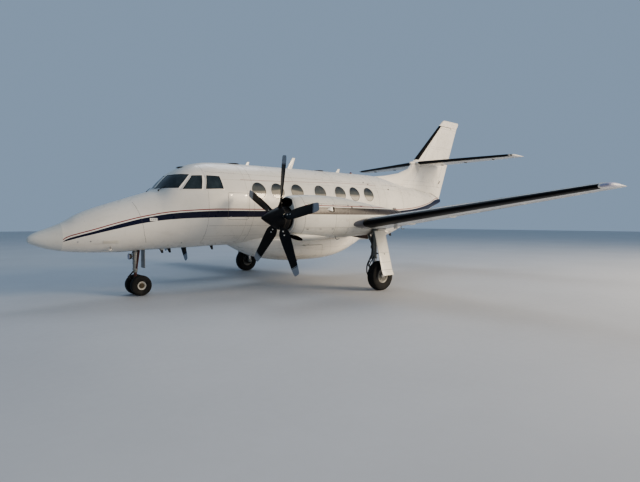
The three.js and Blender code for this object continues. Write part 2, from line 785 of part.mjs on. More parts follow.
// The propeller's parts about its own centre, with the shaft along X.
function buildPropeller() {
  const local = (station) => propeller.station - station;
  const bar = (back, front, radius) => rod([local(back), 0, 0], [local(front), 0, 0], radius, undefined, 24);
  const hubBack = 4240;
  const hub = bar(hubBack, spinner.hubFront + seatGap, spinner.hubRadius - 1);
  const shaft = bar(engine.front + engine.shaftDepth - 5, hubBack - 40, engine.shaftRadius);
  const one = geometryOf(blade());
  const blades = [];
  const holes = [];
  for (let i = 0; i < propeller.blades; i++) {
    const angle = THREE.MathUtils.degToRad(propeller.firstBladeDeg + (360 / propeller.blades) * i);
    const turn = new THREE.Matrix4().makeRotationX(-angle);
    blades.push(placed(one, turn));
    holes.push(
      placed(new THREE.CylinderGeometry(64, 64, 320, 8).rotateX(Math.PI / 2).translate(0, 0, 220), turn),
    );
  }
  const cone = Array.from({ length: 6 }, (_, i) => {
    const share = (i + 1) / 6;
    return [
      local(spinner.tip) - share * (local(spinner.tip) - local(4110)),
      spinner.radius * share ** 0.82,
    ];
  });
  const back = local(spinner.back);
  const profile = [[local(spinner.tip), 0], ...cone, [back, spinner.radius - 6], [back, 0]];
  const cap = turned(profile.reverse(), [0, 0, 0], [1, 0, 0], 24)
    .subtract(bar(spinner.back + 10, spinner.hubFront, spinner.hubRadius))
    .subtract(together(holes));
  return { blades: together([hub, shaft, ...blades]), spinner: cap };
}

// Tyre and rim for a wheel about its own centre, axle along Y. A flat of the tread faces down,
// and the flats lie at the rolling radius.
const wheelSides = 26;
const halfFlat = Math.PI / wheelSides;
const wheelTurned = (profile) =>
  placed(
    geometryOf(turned(profile, [0, 0, 0], [0, 1, 0], wheelSides)),
    new THREE.Matrix4().makeRotationY(halfFlat),
  );

function buildTyre(radius, width, rimRadius) {
  const half = width / 2;
  const tread = radius / Math.cos(halfFlat);
  const bulge = tread - rimRadius;
  const profile = [
    [-half * 0.72, rimRadius],
    [-half * 0.95, rimRadius + bulge * 0.28],
    [-half, rimRadius + bulge * 0.52],
    [-half * 0.84, rimRadius + bulge * 0.82],
    [-half * 0.4, tread],
    [half * 0.4, tread],
    [half * 0.84, rimRadius + bulge * 0.82],
    [half, rimRadius + bulge * 0.52],
    [half * 0.95, rimRadius + bulge * 0.28],
    [half * 0.72, rimRadius],
    [-half * 0.72, rimRadius],
  ];
  return wheelTurned(profile);
}

function buildRim(rimRadius, width, boreRadius, dish) {
  const half = width / 2;
  const profile = [
    [-half, 0],
    [-half, rimRadius - 26],
    [-half, rimRadius],
    [half, rimRadius],
    [half, rimRadius - 26],
    [half - dish, rimRadius - 44],
    [half - dish, 58],
    [half - 8, 52],
    [half - 8, 0],
  ];
  const whole = wheelTurned(profile);
  if (boreRadius === 0) return whole;
  return whole.subtract(rod([0, -half - 20, 0], [0, half - 30, 0], boreRadius, boreRadius, 16));
}

const mainTyre = { width: 224, rim: 155, rimWidth: 176, axle: 34 };
const noseTyre = { width: 150, rim: 84, rimWidth: 120, axle: 20 };

// The leg's door: top and bottom edges as y, z, front x and back x from the axle.
const legDoor = {
  topY: 2950,
  topZ: 1395,
  bottomY: 3236,
  bottomZ: 372,
  flare: 55,
  flareHeight: 120,
  front: 190,
  back: -172,
  thickness: 16,
};
const doorBrackets = [1290, 860];

// Where the door's inner face is at a height above its flared hem.
function legDoorY(z) {
  const { topY, topZ, bottomY, bottomZ, flare, flareHeight } = legDoor;
  return THREE.MathUtils.mapLinear(z, topZ, bottomZ + flareHeight, topY, bottomY - flare);
}

// Port main leg with its axle, torque links and side stay, in the aircraft's frame.
function buildMainLeg() {
  const x = atStation(mainAxle.station);
  const { y, z } = legTop;
  const axleZ = mainAxle.radius;
  return together([
    rod([x, y, 760], [x, y, z - seatGap], 62, 66, 16),
    rod([x, y, axleZ - 30], [x, y, 780], 44, 44, 16),
    rod([x, y, 740], [x, y, 775], 74, 74, 16),
    rod([x, y - 30, axleZ], [x, mainAxle.y + mainTyre.rimWidth / 2 - 34, axleZ], mainTyre.axle),
    rod([x, y + 30, axleZ], [x, y + 66, axleZ], 96, 96, 20),
    // torque links, ahead of the leg
    rod([x + 40, y, 800], [x + 190, y, 590], 22, 18, 10),
    rod([x + 20, y, 385], [x + 190, y, 590], 24, 18, 10),
    // side stay up into the bay
    rod([x, y, 1010], [x, 2520, 1432], 24, 24, 12),
    // brackets that carry the leg's door
    ...doorBrackets.map((z) => rod([x, y, z], [x, legDoorY(z) - 4.9, z], 18, 18, 8)),
  ]);
}

function buildLegDoor() {
  const x = atStation(mainAxle.station);
  const { topY, topZ, bottomY, bottomZ, flare, flareHeight, front, back, thickness } = legDoor;
  const section = [
    [topY, topZ],
    [topY + thickness, topZ],
    [bottomY - flare + thickness, bottomZ + flareHeight],
    [bottomY + thickness, bottomZ],
    [bottomY, bottomZ],
    [bottomY - flare, bottomZ + flareHeight],
  ];
  return prism(section, x + back, x + front, "front");
}

const noseLeg = { x: 60, slotTop: 1110 };

// Nose leg: the fixed cylinder, and the steered fork with its axle.
function buildNoseLeg() {
  const x = atStation(noseAxle.station) + noseLeg.x;
  const upper = together([
    rod([x, 0, 560], [x, 0, noseLeg.slotTop - seatGap], 50, 54, 20),
    rod([x - 90, 0, noseLeg.slotTop - 20], [x, 0, 720], 16, 20, 10),
    rod([x + 20, 0, 855], [x + 90, 0, 855], 22, 22, 10),
    rod([x + 80, 0, 855], [x + 140, 0, 855], 58, 68, 16),
  ]);
  return upper.subtract(rod([x, 0, 500], [x, 0, 700], boreFor(33, 20), undefined, 20));
}

function buildNoseFork() {
  const axleX = atStation(noseAxle.station);
  const x = axleX + noseLeg.x;
  const z = noseAxle.radius;
  return together([
    rod([x, 0, 300], [x, 0, 690], 33, 33, 20),
    rod([x, 0, 500], [x, 0, 552], 46, 46, 20),
    rod([axleX, 0, z], [x, 0, 320], 38, 34, 16),
    rod([axleX, -95, z], [axleX, 95, z], 40, 40, 20),
    rod([x + 20, 0, 520], [x + 150, 0, 415], 16, 13, 10),
    rod([x + 150, 0, 415], [x + 10, 0, 300], 13, 18, 10),
  ]).subtract(rod([axleX, -120, z], [axleX, 120, z], boreFor(noseTyre.axle, 16)));
}

function buildNoseDoor() {
  const x = atStation(noseAxle.station) - 105;
  return box([x - 14, -112, 590], [x, 112, 1020]).subtract(fuselageSolid(seatGap));
}

// The model
const aircraft = new THREE.Group();

function add(parent, name, made, material, position = [0, 0, 0]) {
  const mesh = new THREE.Mesh(geometryOf(made), material);
  mesh.name = name;
  mesh.position.set(...position);
  parent.add(mesh);
  return mesh;
}

const body = new THREE.Group();
aircraft.add(body);
const fuselagePieces = buildFuselage();
const pod = buildPod();
const finWhole = together([finSolid(), dorsalSolid()]).subtract(fuselageSolid(seatGap));
const hingeFoot = new THREE.Vector3(atStation(rudder.footStation), 0, rudder.footZ);
const hingeHead = new THREE.Vector3(atStation(rudder.headStation), 0, rudder.headZ);
const hornFloor = box([atStation(14600), -400, rudder.hornZ], [atStation(12000), 400, 5800]);
const rudderParts = hingedSurface(finWhole, {
  from: hingeFoot,
  to: hingeHead,
  radii: [96, 44],
  up: new THREE.Vector3(0, 1, 0),
  swing: rudder.swing,
  beyond: 900,
  pins: [true, false],
});
const horn = finWhole.intersect(hornFloor);
const hornCutter = box([atStation(14600), -400, rudder.hornZ - 16], [atStation(12000), 400, 5800]);
const finFixed = finWhole.subtract(rudderParts.cutter).subtract(hornCutter).add(rudderParts.pins);
const bodyClear = fuselageSolid(20);

const noseSlot = box(
  [atStation(noseAxle.station) - 60, -75, 900],
  [atStation(noseAxle.station) + 160, 75, noseLeg.slotTop],
);
const fuselage = fuselagePieces.fuselage.add(jackPad(...noseJack)).subtract(noseSlot);
add(body, "fuselage", fuselage, materials.white);
add(body, "radome", fuselagePieces.radome, materials.radome);
add(body, "passenger_door", fuselagePieces.passenger_door, materials.white);
for (const name of Object.keys(cockpitPanes)) {
  add(body, `port_${name}`, fuselagePieces[`port_${name}`], materials.glass);
  add(body, `starboard_${name}`, fuselagePieces[`starboard_${name}`], materials.glass);
}
add(body, "belly_pod", pod.belly_pod, materials.white);
add(body, "pod_door", pod.pod_door, materials.white);
add(body, "fin", finFixed, materials.white);
add(body, "rudder", together([rudderParts.piece, horn]).subtract(bodyClear), materials.white);

const wingPieces = buildWing();
const tailWhole = tailSolid().subtract(finSolid(2 * seatGap)).subtract(dorsalSolid(3));
const elevatorParts = elevatorSurface(tailWhole);
const elevatorNotch = box(
  [atStation(13200), -20, 3400],
  [atStation(elevator.station) + 30, elevator.inner, 3900],
);
const tailFixed = tailWhole.subtract(elevatorParts.cutter).subtract(elevatorNotch).add(elevatorParts.pins);
const engineBlock = buildEngine();
const mainLeg = buildMainLeg();
const legDoorPiece = buildLegDoor();
const tyre = buildTyre(mainAxle.radius, mainTyre.width, mainTyre.rim + seatGap);
const rim = buildRim(mainTyre.rim, mainTyre.rimWidth, boreFor(mainTyre.axle, 16), 40);

for (const [side, sign] of [["port", 1], ["starboard", -1]]) {
  const half = new THREE.Group();
  half.scale.y = sign;
  aircraft.add(half);
  add(half, `${side}_wing`, wingPieces.wing, materials.white);
  add(half, `${side}_flap`, wingPieces.flap, materials.white);
  add(half, `${side}_aileron`, wingPieces.aileron, materials.white);
  add(half, `${side}_nacelle`, wingPieces.nacelle, materials.white);
  add(half, `${side}_exhaust`, wingPieces.exhaust, materials.steel);
  add(half, `${side}_engine`, engineBlock, materials.steel);
  add(half, `${side}_tailplane`, tailFixed, materials.white);
  add(half, `${side}_elevator`, elevatorParts.piece, materials.white);
  add(half, `${side}_main_leg`, mainLeg, materials.leg);
  add(half, `${side}_leg_door`, legDoorPiece, materials.white);
  const wheel = [atStation(mainAxle.station), mainAxle.y, mainAxle.radius];
  add(half, `${side}_main_tyre`, tyre, materials.tyre, wheel);
  add(half, `${side}_main_rim`, rim, materials.rim, wheel);
}

const propellerParts = buildPropeller();
for (const [side, sign] of [["port", 1], ["starboard", -1]]) {
  const centre = [atStation(propeller.station), sign * propeller.y, propeller.z];
  add(aircraft, `${side}_propeller`, propellerParts.blades, materials.blade, centre);
  add(aircraft, `${side}_spinner`, propellerParts.spinner, materials.spinner, centre);
}

const noseGear = new THREE.Group();
aircraft.add(noseGear);
add(noseGear, "nose_leg", buildNoseLeg(), materials.leg);
add(noseGear, "nose_fork", buildNoseFork(), materials.leg);
add(noseGear, "nose_door", buildNoseDoor(), materials.white);
const smallTyre = buildTyre(noseAxle.radius, noseTyre.width, noseTyre.rim + seatGap);
const smallRim = buildRim(noseTyre.rim, noseTyre.rimWidth, 0, 22);
const shift = (made, y) => placed(geometryOf(made), new THREE.Matrix4().makeTranslation(0, y, 0));
const noseRims = together([
  shift(smallRim, noseAxle.y),
  shift(mirrored(smallRim), -noseAxle.y),
  rod([0, -noseAxle.y, 0], [0, noseAxle.y, 0], noseTyre.axle, noseTyre.axle, 16),
]);
const noseWheels = new THREE.Group();
noseWheels.position.set(atStation(noseAxle.station), 0, noseAxle.radius);
noseGear.add(noseWheels);
add(noseWheels, "nose_rims", noseRims, materials.rim);
add(noseWheels, "nose_tyre_port", shift(smallTyre, noseAxle.y), materials.tyre);
add(noseWheels, "nose_tyre_starboard", shift(smallTyre, -noseAxle.y), materials.tyre);

export default aircraft;
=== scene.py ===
import json
import math

import bmesh
import bpy
import numpy as np
from mathutils import Matrix, Vector
from mathutils.bvhtree import BVHTree
from mathutils.geometry import barycentric_transform

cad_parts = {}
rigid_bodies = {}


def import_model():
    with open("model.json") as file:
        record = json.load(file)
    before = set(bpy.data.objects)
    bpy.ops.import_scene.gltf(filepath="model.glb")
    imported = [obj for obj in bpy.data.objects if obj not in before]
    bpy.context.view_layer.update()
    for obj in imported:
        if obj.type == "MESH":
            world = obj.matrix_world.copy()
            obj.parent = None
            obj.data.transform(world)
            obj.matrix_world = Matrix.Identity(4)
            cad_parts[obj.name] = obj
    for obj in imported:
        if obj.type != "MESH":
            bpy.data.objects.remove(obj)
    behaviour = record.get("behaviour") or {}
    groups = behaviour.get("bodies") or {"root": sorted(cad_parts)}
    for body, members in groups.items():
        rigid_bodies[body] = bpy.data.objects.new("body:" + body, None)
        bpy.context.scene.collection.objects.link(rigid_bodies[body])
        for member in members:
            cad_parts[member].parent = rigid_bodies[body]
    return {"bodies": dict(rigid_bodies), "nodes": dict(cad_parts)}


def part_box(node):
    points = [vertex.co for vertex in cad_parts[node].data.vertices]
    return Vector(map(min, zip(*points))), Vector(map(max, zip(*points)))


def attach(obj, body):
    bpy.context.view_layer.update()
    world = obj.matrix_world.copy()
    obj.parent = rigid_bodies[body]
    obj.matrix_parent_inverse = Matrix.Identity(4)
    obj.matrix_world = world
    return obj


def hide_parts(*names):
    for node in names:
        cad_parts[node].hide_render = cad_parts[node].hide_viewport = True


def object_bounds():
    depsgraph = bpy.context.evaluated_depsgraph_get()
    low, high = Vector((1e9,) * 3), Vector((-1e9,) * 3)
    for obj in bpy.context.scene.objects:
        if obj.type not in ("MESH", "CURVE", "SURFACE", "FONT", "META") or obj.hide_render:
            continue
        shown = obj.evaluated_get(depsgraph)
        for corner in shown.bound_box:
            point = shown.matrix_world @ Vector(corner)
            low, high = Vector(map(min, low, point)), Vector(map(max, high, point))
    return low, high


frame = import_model()
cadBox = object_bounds()
noseX = cadBox[1].x
hidden = -0.001  # edges of thin pieces dip this far under the skin
fullTurn = 2 * math.pi
portSide, starboardSide, crown, belly = (0, -1, 0), (0, 1, 0), (0, 0, -1), (0, 0, 1)


def atStation(station):
    # Stations are metres aft of the nose tip, as on the aircraft's own drawings
    return noseX - station


# Camera: where the photograph was taken
view = {
    "place": (8.791, 10.489, 1.613),
    "turn": (87.648, 0.0, 139.42),
    "lens": 26.59,
    "sensor": 36.0,
    "far": 400,
}
bpy.ops.object.camera_add(location=view["place"], rotation=[math.radians(angle) for angle in view["turn"]])
camera = bpy.context.object
camera.data.lens, camera.data.sensor_width, camera.data.clip_end = view["lens"], view["sensor"], view["far"]
bpy.context.scene.camera = camera
print("camera stands where the photograph was taken")


# Small helpers for modelling by operators
def linked(name, data):
    obj = bpy.data.objects.new(name, data)
    bpy.context.scene.collection.objects.link(obj)
    return obj


def meshOf(name, verts, edges, faces):
    mesh = bpy.data.meshes.new(name)
    mesh.from_pydata(verts, edges, faces)
    return linked(name, mesh)


def pick(*objects):
    if bpy.context.mode != "OBJECT":
        bpy.ops.object.mode_set(mode="OBJECT")
    bpy.ops.object.select_all(action="DESELECT")
    for obj in objects:
        obj.select_set(True)
    if objects:
        bpy.context.view_layer.objects.active = objects[0]


def applyPlace(obj):
    pick(obj)
    bpy.ops.object.transform_apply(location=True, rotation=True, scale=True)
    return obj


def joined(pieces):
    # One object from a piece or a list of them
    if not isinstance(pieces, list):
        return pieces
    pick(*pieces)
    if len(pieces) > 1:
        bpy.ops.object.join()
    return bpy.context.object


def smoothed(pieces, degrees=35):
    obj = joined(pieces)
    pick(obj)
    bpy.ops.object.shade_smooth_by_angle(angle=math.radians(degrees))
    return obj


def edit(obj, *steps):
    # Runs mesh operators in turn, starting with everything selected
    pick(obj)
    bpy.ops.object.mode_set(mode="EDIT")
    bpy.ops.mesh.select_mode(type="FACE")
    bpy.ops.mesh.select_all(action="SELECT")
    for operator, settings in steps:
        getattr(bpy.ops.mesh, operator)(**settings)
    bpy.ops.object.mode_set(mode="OBJECT")
    return obj


everything = ("select_all", {"action": "SELECT"})
byFaces = ("select_mode", {"type": "FACE"})
facingOut = ("normals_make_consistent", {"inside": False})
openMiddle = ("delete", {"type": "FACE"})


def outwards(obj):
    return edit(obj, facingOut)


def moved(*by):
    return ("extrude_region_move", {"TRANSFORM_OT_translate": {"value": by}})


def inset(thickness):
    return ("inset", {"thickness": thickness})


def bevelled(obj, width, segments=2, **settings):
    pick(obj)
    modifier = obj.modifiers.new("Bevel", "BEVEL")
    modifier.width, modifier.segments, modifier.limit_method = width, segments, "ANGLE"
    for key, value in settings.items():
        setattr(modifier, key, value)
    bpy.ops.object.modifier_apply(modifier=modifier.name)
    return obj


def shifted(obj, *matrices):
    # Moves the mesh itself, so that the object stays at the origin; the last matrix acts first
    whole = Matrix.Identity(4)
    for matrix in matrices:
        whole = whole @ (matrix if isinstance(matrix, Matrix) else Matrix.Translation(matrix))
    obj.data.transform(whole)
    return obj


def along(direction):
    return Vector(direction).to_track_quat("Z", "Y").to_matrix().to_4x4()


def fitted(pieces, name, coat, body="airframe", nodes=(), slot=None):
    obj = joined(pieces)
    obj.name = name
    obj.data.materials.clear()
    obj.data.materials.append(stuff[coat])
    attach(obj, body)
    if nodes:
        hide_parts(*nodes)
    return obj


def bothSides(pieces, name, coat, body="airframe", nodes=(), slot=None):
    # The port piece and its mirror image; a body with no middle one is taken by side
    obj = joined(pieces)
    twin = linked("twin", obj.data.copy())
    shifted(twin, Matrix.Scale(-1, 4, Vector((0, 1, 0))))
    twin.data.flip_normals()
    for side, piece in (("port_", obj), ("starboard_", twin)):
        onSide = body if body in frame["bodies"] else side + body
        fitted(piece, side + name, coat, onSide, [side + node for node in nodes], slot)
    return obj, twin


def rod(start, end, radius, endRadius=None, sides=40, bevel=0.0):
    # A round bar or cone between two points, with softened rims
    start, end = Vector(start), Vector(end)
    bpy.ops.mesh.primitive_cone_add(
        vertices=sides,
        radius1=radius,
        radius2=radius if endRadius is None else endRadius,
        depth=(end - start).length,
        location=(start + end) / 2,
        rotation=(end - start).to_track_quat("Z", "Y").to_euler(),
    )
    bar = applyPlace(bpy.context.object)
    return bevelled(bar, bevel) if bevel else bar


def block(low, high, bevel, segments=2):
    # A bar with square sides and softened edges
    low, high = Vector(low), Vector(high)
    bpy.ops.mesh.primitive_cube_add(size=1, location=(low + high) / 2, scale=high - low)
    return bevelled(applyPlace(bpy.context.object), bevel, segments)


def ball(place, size, segments=24, rings=12, rotation=(0, 0, 0)):
    # An ellipsoid with its poles on the rotated upright axis
    bpy.ops.mesh.primitive_uv_sphere_add(segments=segments, ring_count=rings, radius=1, rotation=rotation)
    made = bpy.context.object
    if any(rotation):
        applyPlace(made)
    made.scale, made.location = size, place
    return applyPlace(made)


def spun(profile, centre, sides=96, axis=(0, 1, 0)):
    # Spins an outline of [along the axis, radius] points about a line through centre
    axis = Vector(axis)
    out = axis.orthogonal().normalized()
    points = [Vector(centre) + axis * ahead + out * radius for ahead, radius in profile]
    closed = profile[0] == profile[-1]
    points = points[:-1] if closed else points
    edges = [(i, i + 1) for i in range(len(points) - 1)] + ([(len(points) - 1, 0)] if closed else [])
    turnRound = ("spin", {"steps": sides, "angle": fullTurn, "center": centre, "axis": axis})
    merge = ("remove_doubles", {"threshold": 1e-5})
    return edit(meshOf("outline", points, edges, []), turnRound, everything, merge, facingOut)


# Skin forms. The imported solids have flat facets, so each big skin is cut finer and drawn
# onto a smooth form through the same sections.
def through(rows, at):
    # Smooth monotone curves through the columns of a table, read at values of its first column
    table = np.array(rows, float)
    x, y = table[:, 0], table[:, 1:]
    step = np.diff(x)
    slope = np.diff(y, axis=0) / step[:, None]
    lean = np.zeros_like(y)
    lean[0], lean[-1] = slope[0], slope[-1]
    before, after = slope[:-1], slope[1:]
    wide = (2 * step[1:] + step[:-1])[:, None]
    narrow = (step[1:] + 2 * step[:-1])[:, None]
    with np.errstate(divide="ignore", invalid="ignore"):
        mean = (wide + narrow) / (wide / before + narrow / after)
    lean[1:-1] = np.where(before * after > 0, mean, 0)
    at = np.clip(np.atleast_1d(at), x[0], x[-1])
    i = np.clip(np.searchsorted(x, at) - 1, 0, len(x) - 2)
    h, t = step[i][:, None], ((at - x[i]) / step[i])[:, None]
    first = y[i] * (1 + 2 * t) * (1 - t) ** 2 + lean[i] * h * t * (1 - t) ** 2
    return first + y[i + 1] * t**2 * (3 - 2 * t) + lean[i + 1] * h * t**2 * (t - 1)


def blunt(value, fullness):
    return np.sign(value) * np.abs(value) ** (2 / fullness)


def circle(count):
    return np.linspace(0, fullTurn, count, endpoint=False)


def ring(station, across, up):
    return np.stack([np.full_like(across, atStation(station)), across, up], -1)


fuselageRows = [
    # station, top, bottom, height of the widest line, half width, fullness of the upper half
    (0.000, 1.296, 1.244, 1.270, 0.026, 2.00),
    (0.030, 1.338, 1.200, 1.270, 0.078, 2.00),
    (0.120, 1.392, 1.156, 1.272, 0.140, 2.00),
    (0.320, 1.474, 1.080, 1.286, 0.222, 2.00),
    (0.600, 1.594, 1.022, 1.322, 0.310, 2.00),
    (0.840, 1.744, 0.992, 1.366, 0.380, 2.00),
    (1.050, 1.842, 0.978, 1.408, 0.440, 2.00),
    (1.690, 2.068, 0.962, 1.516, 0.592, 2.00),
    (2.270, 2.258, 0.990, 1.622, 0.716, 2.10),
    (2.400, 2.300, 0.992, 1.646, 0.742, 2.20),
    (2.500, 2.368, 0.994, 1.670, 0.762, 2.35),
    (2.620, 2.512, 0.998, 1.698, 0.785, 2.40),
    (2.760, 2.652, 1.000, 1.732, 0.808, 2.45),
    (3.040, 2.844, 1.006, 1.812, 0.862, 2.35),
    (3.320, 2.956, 1.010, 1.894, 0.912, 2.20),
    (3.700, 3.024, 1.026, 1.976, 0.960, 2.10),
    (4.300, 3.050, 1.038, 2.037, 0.992, 2.00),
    (9.000, 3.074, 1.046, 2.050, 0.992, 2.00),
    (9.400, 3.064, 1.050, 2.054, 0.980, 2.00),
    (9.750, 3.018, 1.086, 2.075, 0.945, 2.00),
    (10.150, 2.940, 1.200, 2.110, 0.885, 2.00),
    (10.650, 2.844, 1.382, 2.170, 0.790, 2.00),
    (11.300, 2.778, 1.620, 2.240, 0.635, 2.00),
    (12.100, 2.688, 1.920, 2.330, 0.395, 2.00),
    (12.700, 2.605, 2.140, 2.380, 0.205, 2.00),
    (13.190, 2.455, 2.315, 2.390, 0.055, 2.00),
]


def fuselageSkin(stations, angles):
    # Angle 0 is to port; the blunt nose reads best against the square root of the station
    cosine, sine = np.cos(angles), np.sin(angles)
    table = [(math.sqrt(row[0]), *row[1:]) for row in fuselageRows]
    rings = []
    for station, (top, bottom, widest, half, full) in zip(stations, through(table, np.sqrt(stations))):
        shape = np.where(sine >= 0, full, 2)
        up = widest + np.where(sine >= 0, top - widest, widest - bottom) * blunt(sine, shape)
        rings.append(ring(station, half * blunt(cosine, shape), up))
    return np.array(rings)


pod = {
    "y": 0.0,
    "fullness": 3.2,
    "rows": [
        # station, top, bottom, half width
        (4.33, 1.350, 1.030, 0.120),
        (4.50, 1.350, 0.965, 0.330),
        (4.76, 1.350, 0.850, 0.500),
        (5.15, 1.350, 0.700, 0.600),
        (5.60, 1.350, 0.605, 0.640),
        (6.20, 1.350, 0.562, 0.650),
        (6.85, 1.350, 0.566, 0.650),
        (7.40, 1.350, 0.616, 0.640),
        (7.80, 1.350, 0.706, 0.600),
        (8.25, 1.350, 0.862, 0.500),
        (8.65, 1.350, 1.005, 0.350),
        (9.00, 1.350, 1.120, 0.120),
    ],
}
nacelle = {
    "y": 2.514,
    "fullness": 2.35,
    "rows": [
        # station, top, bottom, half width
        (4.290, 2.120, 1.392, 0.292),
        (4.345, 2.150, 1.370, 0.325),
        (4.560, 2.176, 1.310, 0.368),
        (5.000, 2.190, 1.262, 0.392),
        (5.700, 2.170, 1.256, 0.396),
        (6.300, 2.092, 1.272, 0.386),
        (6.900, 2.008, 1.310, 0.345),
        (7.400, 1.945, 1.400, 0.285),
        (7.850, 1.900, 1.560, 0.205),
    ],
}


def ovalSkin(shape, stations, angles):
    rings = []
    for station, (top, bottom, half) in zip(stations, through(shape["rows"], stations)):
        across = shape["y"] + half * blunt(np.cos(angles), shape["fullness"])
        up = (top + bottom) / 2 + (top - bottom) / 2 * blunt(np.sin(angles), shape["fullness"])
        rings.append(ring(station, across, up))
    return np.array(rings)


def airfoil(thickness, camber, steps):
    # Chord 1, from the trailing edge over the top to the nose and back underneath
    x = (1 + np.cos(np.linspace(0, math.pi, steps + 1))) / 2
    half = 0.2969 * np.sqrt(x) - 0.126 * x - 0.3516 * x**2 + 0.2843 * x**3 - 0.1015 * x**4
    half = 5 * thickness * half
    crest = 0.4
    rise = camber / crest**2 * (2 * crest * x - x**2)
    fall = camber / (1 - crest) ** 2 * (1 - 2 * crest + 2 * crest * x - x**2)
    mean = np.where(x < crest, rise, fall)
    return np.concatenate([x, x[-2::-1]]), np.concatenate([mean + half, (mean - half)[-2::-1]])


def grown(back, above, by):
    # An outline moved outwards by a distance
    lean = np.gradient(np.stack([back, above], -1), axis=0)
    lean /= np.linalg.norm(lean, axis=1)[:, None] + 1e-12
    return back + lean[:, 1] * by, above - lean[:, 0] * by


wing = {
    "leading": (5.890, 6.330),
    "chord": (2.200, 0.800),
    "rootHeight": 1.205,
    "dihedral": 7.0,
    "twist": (2.0, 0.0),
    "thickness": (0.18, 0.12),
    "camber": 0.02,
    "turnsAbout": 0.45,
    "halfSpan": 7.925,
    # y, squash, shrink
    "tip": [(7.735, 1, 1), (7.855, 0.8, 0.97), (7.909, 0.5, 0.9), (7.925, 0.2, 0.82)],
}


def wingMix(key, y):
    root, tip = wing[key]
    return root + (tip - root) * y / wing["halfSpan"]


def wingSkin(y, steps=40, grow=0.0):
    # One section of the port wing
    squash, shrink = (1, 1) if y <= wing["tip"][0][0] else through(wing["tip"], y)[0]
    chord, twist = wingMix("chord", y), math.radians(wingMix("twist", y))
    share, above = airfoil(wingMix("thickness", y) * squash, wing["camber"] * squash, steps)
    share = wing["turnsAbout"] + (share - wing["turnsAbout"]) * shrink
    share, above = grown(share, above, grow / chord)
    back = chord * (share * math.cos(twist) + above * math.sin(twist))
    up = chord * (above * math.cos(twist) - share * math.sin(twist))
    height = wing["rootHeight"] + y * math.tan(math.radians(wing["dihedral"]))
    return np.stack([atStation(wingMix("leading", y) + back), np.full_like(back, y), height + up], -1)


finRows = [
    # height, leading station, chord, thickness share
    (2.450, 10.330, 2.830, 0.085),
    (3.790, 11.720, 1.975, 0.100),
    (5.134, 13.150, 1.105, 0.100),
    (5.310, 13.345, 1.025, 0.095),
    (5.358, 13.420, 0.945, 0.070),
    (5.370, 13.480, 0.870, 0.030),
]


def plainSection(leading, chord, thickness, steps, grow):
    share, above = grown(*airfoil(thickness, 0, steps), grow / chord)
    return atStation(leading + share * chord), above * chord


def finSkin(z, steps=40, grow=0.0):
    table = np.array(finRows)
    straight = [np.interp(z, table[:, 0], column) for column in table[:, 1:].T]
    x, y = plainSection(*(straight if z < finRows[2][0] else through(finRows[2:], z)[0]), steps, grow)
    return np.stack([x, y, np.full_like(x, z)], -1)


tailplane = {
    "height": 3.655,
    "leading": (11.650, 12.290),
    "trailing": 13.060,
    "thickness": 0.11,
    "halfSpan": 3.300,
    # y, squash, inset
    "tip": [(3.170, 1, 0), (3.255, 0.8, 0.018), (3.292, 0.5, 0.060), (3.300, 0.2, 0.100)],
}


def tailLeading(y):
    first, last = tailplane["leading"]
    return first + (last - first) * y / tailplane["halfSpan"]


def tailSkin(y, steps=40, grow=0.0):
    squash, pulled = (1, 0) if y <= tailplane["tip"][0][0] else through(tailplane["tip"], y)[0]
    leading = tailLeading(y) + pulled
    chord = tailplane["trailing"] - pulled / 2 - leading
    x, above = plainSection(leading, chord, tailplane["thickness"] * squash, steps, grow)
    return np.stack([x, np.full_like(x, y), tailplane["height"] + above], -1)


spinner = {
    "tip": 3.664,
    "shoulder": 4.110,
    "back": 4.262,
    "radius": 0.242,
    "backRadius": 0.236,
    "cone": 0.82,
}
propeller = {"station": 4.117, "y": 2.514, "z": 1.685, "blades": 5, "first": 8.5, "sides": 28}


def spinnerSkin(side):
    share = (np.linspace(0.0, 1, 40) ** 1.5)[1:]
    stations = [*(spinner["tip"] + share * (spinner["shoulder"] - spinner["tip"])), spinner["back"]]
    radii = [*(spinner["radius"] * share ** spinner["cone"]), spinner["backRadius"]]
    angles = circle(72)
    rings = []
    for station, radius in zip(stations, radii):
        across = side * propeller["y"] + radius * np.cos(angles)
        rings.append(ring(station, across, propeller["z"] + radius * np.sin(angles)))
    return np.array(rings)


class Form:
    # A smooth skin that answers: which point of it is nearest, and how does it face there
    def __init__(self, rings, closed=True):
        rings = np.asarray(rings, float)
        count, size = rings.shape[:2]
        if closed:
            around = np.roll(rings, -1, axis=1) - np.roll(rings, 1, axis=1)
        else:
            around = np.gradient(rings, axis=1)
        facing = np.cross(np.gradient(rings, axis=0), around)
        facing /= np.linalg.norm(facing, axis=2)[:, :, None] + 1e-12
        if ((rings - rings.mean(axis=1, keepdims=True)) * facing).sum() < 0:
            facing = -facing
        self.points = [Vector(p) for p in rings.reshape(-1, 3)]
        self.facing = [Vector(n) for n in facing.reshape(-1, 3)]
        self.triangles = []
        for i in range(count - 1):
            for j in range(size if closed else size - 1):
                a, b = i * size + j, i * size + (j + 1) % size
                self.triangles += [(a, b, b + size), (a, b + size, a + size)]
        self.tree = BVHTree.FromPolygons(self.points, self.triangles)

    def nearest(self, point):
        place, _, index, distance = self.tree.find_nearest(point)
        corners = self.triangles[index]
        points, facings = [self.points[i] for i in corners], [self.facing[i] for i in corners]
        return place, barycentric_transform(place, *points, *facings).normalized(), distance


def planes(axis, values):
    normal = Vector([1 if axis == i else 0 for i in "xyz"])
    return [(normal * value, normal) for value in values]


def treeOf(mesh):
    return BVHTree.FromPolygons([v.co for v in mesh.vertices], [tuple(f.vertices) for f in mesh.polygons])


skinLook = {"reach": 0.016, "agree": 0.8, "coverReach": 0.05, "merge": 2e-5, "smooth": 25}


